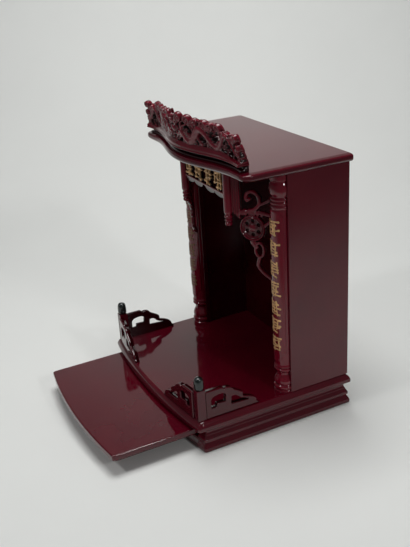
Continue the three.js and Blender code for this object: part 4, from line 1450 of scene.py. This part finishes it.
def carve_medallion(carving, inside):
    """Double rim, six holes and a boss."""
    x, z = carving.x - BRACKET_RING[0], carving.z - BRACKET_RING[1]
    away = np.hypot(x, z)
    rise = 0.8 + 3.9 * np.exp(-(((away - 25.6) / 1.7) ** 2)) + 2.8 * np.exp(-(((away - 21) / 1.1) ** 2))
    rise += 3.6 * np.sqrt(np.clip(1 - (away / 8.4) ** 2, 0, 1))
    inside = np.maximum(inside, BRACKET_ROUND - away)
    for k in range(BRACKET_HOLES):
        angle = math.pi * (2 * k + 1) / BRACKET_HOLES
        hole = np.hypot(x - BRACKET_HOLES_OUT * math.cos(angle), z - BRACKET_HOLES_OUT * math.sin(angle))
        inside = np.minimum(inside, hole - BRACKET_HOLE)
    carving.rise = np.where(away < BRACKET_ROUND, rise, carving.rise)
    return inside


def bracket_body():
    """Right-hand bracket, set between the pendant and the column."""
    pitch = bpy.context.scene.altar_carving.pitch * 0.8
    reach = bracket_reach()
    carving = Carving(grid_line(6, reach + 1, pitch), grid_line(BRACKET_LOW - 2, CASE_TOP + 1, pitch))
    inside = carve_medallion(carving, carve_bracket(carving))
    inside = np.minimum(inside, np.minimum(CASE_TOP - carving.z, reach - carving.x))
    angle = math.atan2(COLUMN_Y - PENDANT_Y, COLUMN_X - PENDANT_X)
    along = np.array((math.cos(angle), math.sin(angle)))
    behind = np.array((-math.sin(angle), math.cos(angle)))

    def place(s, z, depth):
        off = depth - BRACKET_THICK / 2
        x = PENDANT_X + s * along[0] + off * behind[0]
        y = PENDANT_Y + s * along[1] + off * behind[1]
        return np.stack([x, y, z], axis=-1)

    back = even_depth(BRACKET_THICK)
    return carved_panel(carving, inside, place, back, BRACKET_SINK, BRACKET_ROUNDING)


# ---------------------------------------------------------------- fences


def outline_of(start, *moves):
    """Corners of an outline: each move is a point, or a bend and a point."""
    corners = [start]
    for move in moves:
        if len(move) == 2:
            corners.append(move)
        else:
            corners += quadratic(corners[-1], move[:2], move[2:])
    return corners


def fence_field(carving, start):
    """Level rail that steps down in cloud lobes to the floor, with two pierced openings."""
    edge = outline_of(
        (start, -2), (FENCE_DRAWN, -2), (FENCE_DRAWN, 0), (FENCE_DRAWN, 5, 136, 6), (136, 14, 130, 17.5),
        (120, 24, 105, 27), (104, 38), (95, 44, 84, 50), (79, 59, 70, 59.5), (64, 60, 62, 57.5),
        (60, FENCE_TALL, 54, FENCE_TALL), (start, FENCE_TALL),
    )
    wide = outline_of(
        (31, 22), (43, 22), (44, 30), (64, 29), (65.5, 43), (62, 49, 54, 49.5), (33, 50, 31, 40),
    )
    narrow = outline_of((77, 18.5), (117, 16), (117, 21, 108, 22), (98, 24, 92, 32), (86, 38, 78, 35))
    inside = polygon_inside(carving.x, carving.z, edge)
    for hole in (wide, narrow):
        inside = np.minimum(inside, -polygon_inside(carving.x, carving.z, hole))
    return np.minimum(inside, carving.z)


def fence_panel(stretch, place):
    """A fence panel; stretch is its length over the drawn one, place puts it on the board."""
    pitch = bpy.context.scene.altar_carving.pitch
    start = POST_HIGH[0] - POST_LOW[0] + JOINT
    carving = Carving(grid_line(start - 1, 142, pitch), grid_line(-1, FENCE_TALL + 1, pitch))
    inside = np.minimum(fence_field(carving, start / stretch), carving.x - start / stretch)
    thick = FENCE_SIDE_HIGH[0] - FENCE_SIDE_LOW[0]

    def stretched(s, z, depth):
        return place(s * stretch, z, depth)

    return carved_panel(carving, inside, stretched, even_depth(thick), 0.0, FENCE_ROUNDING)


def place_side_fence(s, z, depth):
    """Point of a side fence, which runs straight back from the post."""
    return np.stack([FENCE_SIDE_HIGH[0] - depth, POST_LOW[1] + s, CASE_FLOOR + z], axis=-1)


def place_front_fence(s, z, depth):
    """Point of a front fence, which follows the board's bow from the post inwards."""
    x = POST_HIGH[0] - s
    front_at = bowed(BOARD_LOW[1])
    set_back = POST_LOW[1] - front_at(POST_HIGH[0])
    return np.stack([x, front_at(x) + set_back + depth, CASE_FLOOR + z], axis=-1)


def chamfered_block(low, high, cut):
    """A square post with small cut edges."""
    (x0, y0, z0), (x1, y1, z1) = low, high
    plan = [
        (x0 + cut, y0), (x1 - cut, y0), (x1, y0 + cut), (x1, y1 - cut),
        (x1 - cut, y1), (x0 + cut, y1), (x0, y1 - cut), (x0, y0 + cut),
    ]
    centre = np.array(((x0 + x1) / 2, (y0 + y1) / 2))
    shrink = 1 - 2 * cut / (x1 - x0)
    inner = [tuple(centre + (np.array(p) - centre) * shrink) for p in plan]
    return stacked([plan, plan, inner], (z0, z1 - cut, z1))


def knob_body():
    """Bullet-shaped knob that narrows to its foot."""
    r = (KNOB_HIGH[0] - KNOB_LOW[0]) / 2
    low, high = KNOB_LOW[2], KNOB_HIGH[2]
    tall = high - low
    profile = [
        (0.8 * r, low), (0.84 * r, low + 0.8), (0.86 * r, low + 1.8), (0.95 * r, low + 3), (r, low + 4.6),
        (r, low + 9), (0.985 * r, low + 0.55 * tall), (0.94 * r, low + 0.72 * tall),
        (0.84 * r, low + 0.85 * tall), (0.66 * r, low + 0.94 * tall), (0.36 * r, high - 0.3),
        (0.02 * r, high),
    ]
    points, faces = turned(rounded_profile(profile, 1.6, 4), 64)
    x, y = (KNOB_LOW[0] + KNOB_HIGH[0]) / 2, (KNOB_LOW[1] + KNOB_HIGH[1]) / 2
    return np.asarray(points) + (x, y, 0), faces


# ---------------------------------------------------------------- the pieces, group by group


def single(name, shape, finish, **looks):
    """A piece that replaces its plain solid."""
    new_piece(f"{name}_fine", *shape, finish, stands_for=(name,), **looks)


def both_sides(name, shape, finish, **looks):
    """A right-hand piece and its mirror image, which replace their plain solids."""
    single(f"{name}_right", shape, finish, **looks)
    single(f"{name}_left", mirrored(*shape), finish, **looks)


EASED_WIDTH = 0.7  # width of the eased edges of plain panels
WELD_REACH = 0.01
CRISP_BOARD = 38  # edges of a board that turn by more than these degrees stay crisp
CRISP_TURNING = 50
CRISP_POST = 30


def eased(name, finish):
    """A solid of the frame kept as it is, with its finish and its edges eased."""
    solid = frame["nodes"][name]
    solid.material_slots[0].material = material_for(finish)
    weld = solid.modifiers.new("weld", "WELD")
    weld.merge_threshold = WELD_REACH * MM
    bevel = solid.modifiers.new("bevel", "BEVEL")
    bevel.width = EASED_WIDTH * MM
    bevel.segments = 2
    bevel.limit_method = "ANGLE"


class ALTAR_OT_plinth(bpy.types.Operator):
    """Moulded plinth rails on both sides and the low rail under the tray's slot"""

    bl_idname = "altar.plinth"
    bl_label = "Plinth"

    def execute(self, context):
        both_sides("plinth", plinth_side(), "red_lacquer", sharp=CRISP_BOARD)
        single("plinth_front", plinth_front(), "red_lacquer", sharp=CRISP_BOARD)
        single("plinth_back", plinth_back(), "red_lacquer", sharp=CRISP_BOARD)
        # Painted shade: the runners inside the tray's slot are darkened for the shade there.
        eased("tray_runner_right", "dark_lacquer")
        eased("tray_runner_left", "dark_lacquer")
        return {"FINISHED"}


class ALTAR_OT_boards(bpy.types.Operator):
    """Base board and roof board with their mouldings"""

    bl_idname = "altar.boards"
    bl_label = "Base and roof boards"

    def execute(self, context):
        for name, plan, moulding, round_back in (
            ("base_board", BOARD_PLAN, board_moulding(), True),
            ("roof_board", ROOF_PLAN, roof_moulding(), False),
        ):
            *shape, flat = moulded_board(plan, moulding, BOARD_ROUNDING, round_back)
            single(name, shape, "red_lacquer", flat_faces=flat, sharp=CRISP_BOARD)
        return {"FINISHED"}


class ALTAR_OT_tray(bpy.types.Operator):
    """Sliding offering tray"""

    bl_idname = "altar.tray"
    bl_label = "Tray"

    def execute(self, context):
        *shape, flat = moulded_board(TRAY_PLAN, tray_moulding(), TRAY_ROUNDING, True)
        single("tray", shape, "red_lacquer", body="tray", flat_faces=flat, sharp=CRISP_BOARD)
        return {"FINISHED"}


class ALTAR_OT_cabinet(bpy.types.Operator):
    """Side panels, inner walls, stiles and back of the niche"""

    bl_idname = "altar.cabinet"
    bl_label = "Cabinet panels"

    def execute(self, context):
        # Painted shade: the walls and stiles inside the niche, and still more its back, are darkened for
        # shade.
        for side in ("right", "left"):
            eased(f"side_panel_{side}", "side_lacquer")
            eased(f"inner_wall_{side}", "dark_lacquer")
            eased(f"stile_{side}", "dark_lacquer")
        eased("back_panel", "unlit_lacquer")
        return {"FINISHED"}


class ALTAR_OT_columns(bpy.types.Operator):
    """Turned half columns with their gilded panels"""

    bl_idname = "altar.columns"
    bl_label = "Columns"

    def execute(self, context):
        *shape, flat = column_body()
        both_sides(
            "column", shape, "carved_lacquer", flat_faces=flat, sharp=CRISP_TURNING, look="bright_lacquer"
        )
        *shape, flat = column_marks()
        new_piece("column_right_marks", *shape, "gold_paint", flat_faces=flat)
        new_piece("column_left_marks", *mirrored(*shape), "gold_paint", flat_faces=flat)
        return {"FINISHED"}


class ALTAR_OT_valance(bpy.types.Operator):
    """Carved board over the niche with its gilded marks and the turned drops beside it"""

    bl_idname = "altar.valance"
    bl_label = "Valance and drops"

    def execute(self, context):
        build_valance()
        both_sides("pendant", pendant_body(), "carved_lacquer", sharp=CRISP_TURNING, look="bright_lacquer")
        return {"FINISHED"}


class ALTAR_OT_brackets(bpy.types.Operator):
    """Pierced brackets between the drops and the columns"""

    bl_idname = "altar.brackets"
    bl_label = "Brackets"

    def execute(self, context):
        # Painted shade: the brackets take carving lacquer darkened for the shade under the roof.
        *shape, flat, hollow = bracket_body()
        both_sides("bracket", shape, "deep_lacquer", flat_faces=flat, hollow=BRACKET_SHADE * hollow)
        return {"FINISHED"}


class ALTAR_OT_fences(bpy.types.Operator):
    """Corner fences with their posts and knobs"""

    bl_idname = "altar.fences"
    bl_label = "Fences, posts and knobs"

    def execute(self, context):
        side_length = FENCE_SIDE_HIGH[1] - POST_LOW[1]
        front_length = POST_HIGH[0] - FENCE_FRONT_LOW[0]
        for name, length, place in (
            ("fence_side", side_length, place_side_fence),
            ("fence_front", front_length, place_front_fence),
        ):
            *shape, flat, hollow = fence_panel(length / FENCE_DRAWN, place)
            # Painted shade: without relief the whole front lies at full depth and gets a light painted shade
            # here, the back a deep one.
            shade = 0.95 - 0.55 * hollow
            both_sides(name, shape, "red_lacquer", flat_faces=flat, hollow=shade, look="carved_lacquer")
        post = chamfered_block(POST_LOW, POST_HIGH, POST_CUT)
        both_sides("fence_post", post, "red_lacquer", sharp=CRISP_POST)
        both_sides("knob", knob_body(), "knob_paint", sharp=CRISP_TURNING)
        return {"FINISHED"}


class ALTAR_OT_crest(bpy.types.Operator):
    """Openwork crest with two dragons and a pearl"""

    bl_idname = "altar.crest"
    bl_label = "Crest"

    def execute(self, context):
        build_crest()
        return {"FINISHED"}


# ---------------------------------------------------------------- stage, in metres

CAMERA_AT = (1.4797, -0.9355, 1.0)
# The camera's right, its up and the direction back towards it.
CAMERA_AXES = ((0.4552, 0.8884, -0.0596), (-0.32903, 0.23006, 0.91587), (0.82736, -0.3973, 0.39703))
TOWARDS_CAMERA = CAMERA_AXES[2]
CAMERA_LENS = 53.33
SWEEP_START = 0.6  # where the floor begins to curve up, behind the altar as the camera looks
SWEEP_CURVE = 1.4  # radius of the curve
SWEEP_TOP = 2.4  # height of the wall
SWEEP_NEAR = 3.2  # how far the floor reaches towards the camera
SWEEP_HALF = 3.4  # half its width
LIT_GROUND = (-0.8, 0.2, 0.0)  # middle of a painted pool of light on the floor ...
LIT_REACH = (1.4, 2.4)  # ... and the distances from it between which it fades
SOFTBOX_AT = (-0.05, -0.2, 2.4)
SOFTBOX_AIM = (0.0, -0.2, 0.2)
SOFTBOX_SIZE = 1.3
LAMPS = ((2.93, 0.38, 1.9), (0.05, -2.5, 2.8))
LAMP_AIM = (0.0, -0.2, 0.3)
LAMP_SIZE = 0.4
WALL_AT = (-0.7, 0.1, 2.9)
WALL_AIM = (-2.4, 1.2, 0.9)
WALL_SIZE = 0.9
FLOOR_DARKENS_AT = 0.68  # the floor darkens from this far in front of the origin, towards the camera ...
FLOOR_DARKENS_OVER = 0.3  # ... over this distance


def floor_material(colour):
    """Plain painted floor, a little uneven, with a painted pool of light round the lit ground, darker towards
    the camera.
    """
    material, nodes, links = node_material("studio_floor")
    shader = nodes["Principled BSDF"]
    shader.inputs["Roughness"].default_value = 0.7
    place = object_place(nodes)
    cloud = noise(nodes, links, place, 2.2, 5.0, 0.6)
    tint = ramp(nodes, links, cloud, 0.3, 0.7, mixed(colour, GREY, 0.08), colour)
    # A painted pool of light fades away from the lit ground, and the floor darkens towards the camera.
    for operation, towards, start, end, share in (
        ("DISTANCE", LIT_GROUND, *LIT_REACH, 0.6),
        ("DOT_PRODUCT", TOWARDS_CAMERA, FLOOR_DARKENS_AT, FLOOR_DARKENS_AT + FLOOR_DARKENS_OVER, 0.75),
    ):
        measure = add_node(nodes, "ShaderNodeVectorMath", operation=operation)
        measure.inputs[1].default_value = towards
        links.new(place, measure.inputs[0])
        ends = {"interpolation_type": "SMOOTHSTEP", "From Min": start, "From Max": end}
        fading = mapped(nodes, links, measure.outputs["Value"], **ends)
        tint = blend(nodes, links, fading, tint, mixed(colour, BLACK, share))
    links.new(tint, shader.inputs["Base Color"])
    return material


def add_sweep(colour):
    """Paper sweep: level floor that curves up into a plain wall behind the altar."""
    along = -Vector(TOWARDS_CAMERA).to_2d().normalized()
    across = Vector((-along.y, along.x))
    line = [(-SWEEP_NEAR, 0.0)]
    for angle in np.linspace(0, np.pi / 2, 25):
        line.append((SWEEP_START + SWEEP_CURVE * math.sin(angle), SWEEP_CURVE * (1 - math.cos(angle))))
    line.append((SWEEP_START + SWEEP_CURVE, SWEEP_TOP))
    points = []
    for out, up in line:
        for side in (-SWEEP_HALF, SWEEP_HALF):
            at = along * out + across * side
            points.append((at.x, at.y, up))
    faces = [(2 * k, 2 * k + 2, 2 * k + 3, 2 * k + 1) for k in range(len(line) - 1)]
    mesh = bpy.data.meshes.new("studio_floor")
    mesh.from_pydata(points, [], faces)
    mesh.polygons.foreach_set("use_smooth", [True] * len(faces))
    mesh.materials.append(floor_material(colour))
    floor = bpy.data.objects.new("studio_floor", mesh)
    bpy.context.scene.collection.objects.link(floor)


def add_camera():
    """The camera that takes the main view."""
    camera = bpy.data.objects.new("studio_camera", bpy.data.cameras.new("studio_camera"))
    camera.data.lens = CAMERA_LENS
    camera.data.sensor_width = 36.0
    camera.data.clip_end = 100.0
    camera.matrix_world = Matrix.Translation(CAMERA_AT) @ Matrix(CAMERA_AXES).transposed().to_4x4()
    bpy.context.scene.collection.objects.link(camera)
    bpy.context.scene.camera = camera


def add_area_light(name, place, aim, size, power):
    """A round soft light that shines from a place towards an aim."""
    light = bpy.data.lights.new(name, "AREA")
    light.shape = "DISK"
    light.size = size
    light.energy = power
    lamp = bpy.data.objects.new(name, light)
    lamp.location = place
    lamp.rotation_euler = (Vector(aim) - Vector(place)).to_track_quat("-Z", "Y").to_euler()
    bpy.context.scene.collection.objects.link(lamp)


def add_room_light(strength):
    """The even light of the room."""
    world = bpy.data.worlds.new("studio_room")
    world.use_nodes = True
    background = world.node_tree.nodes["Background"]
    background.inputs["Color"].default_value = (0.95, 0.98, 1.0, 1.0)
    background.inputs["Strength"].default_value = strength
    bpy.context.scene.world = world


class ALTAR_OT_stage(bpy.types.Operator):
    """Pale floor, soft light and the camera"""

    bl_idname = "altar.stage"
    bl_label = "Stage"

    def execute(self, context):
        stage = context.scene.altar_stage
        add_camera()
        add_sweep(tuple(stage.floor))
        add_room_light(stage.sky)
        add_area_light("studio_softbox", SOFTBOX_AT, SOFTBOX_AIM, SOFTBOX_SIZE, stage.softbox)
        for k, place in enumerate(LAMPS):
            add_area_light(f"studio_lamp_{k}", place, LAMP_AIM, LAMP_SIZE, stage.lamps)
        add_area_light("studio_wall_light", WALL_AT, WALL_AIM, WALL_SIZE, stage.wall_light)
        context.scene.view_settings.view_transform = "Standard"
        return {"FINISHED"}


# ---------------------------------------------------------------- panel and registration


class ALTAR_PT_sidebar(bpy.types.Panel):
    """Buttons that build the altar's pieces, and their settings"""

    bl_idname = "ALTAR_PT_sidebar"
    bl_label = "Lacquered Altar"
    bl_space_type = "VIEW_3D"
    bl_region_type = "UI"
    bl_category = "Altar"

    def draw(self, context):
        scene = context.scene
        for settings, names in (
            (scene.altar_finishes, ("lacquer", "carving", "shade", "gold", "knob", "gloss")),
            (scene.altar_carving, ("pitch", "rounding")),
            (scene.altar_stage, ("floor", "sky", "softbox", "lamps", "wall_light")),
        ):
            for name in names:
                self.layout.prop(settings, name)
        for piece in PIECES:
            self.layout.operator(piece.bl_idname)


SETTINGS = {"altar_finishes": AltarFinishes, "altar_carving": AltarCarving, "altar_stage": AltarStage}
PIECES = (
    ALTAR_OT_stage,
    ALTAR_OT_plinth,
    ALTAR_OT_boards,
    ALTAR_OT_tray,
    ALTAR_OT_cabinet,
    ALTAR_OT_columns,
    ALTAR_OT_valance,
    ALTAR_OT_brackets,
    ALTAR_OT_fences,
    ALTAR_OT_crest,
)


def register():
    """Registers the classes and gives every scene the settings."""
    for kind in (*SETTINGS.values(), *PIECES, ALTAR_PT_sidebar):
        bpy.utils.register_class(kind)
    for name, kind in SETTINGS.items():
        setattr(bpy.types.Scene, name, bpy.props.PointerProperty(type=kind))


def unregister():
    """Takes away what register added."""
    for name in SETTINGS:
        delattr(bpy.types.Scene, name)
    for kind in reversed((*SETTINGS.values(), *PIECES, ALTAR_PT_sidebar)):
        bpy.utils.unregister_class(kind)


def main():
    """Builds every piece and the stage."""
    register()
    for piece in PIECES:
        getattr(bpy.ops.altar, piece.bl_idname.split(".")[1])()


if __name__ == "__main__":
    main()
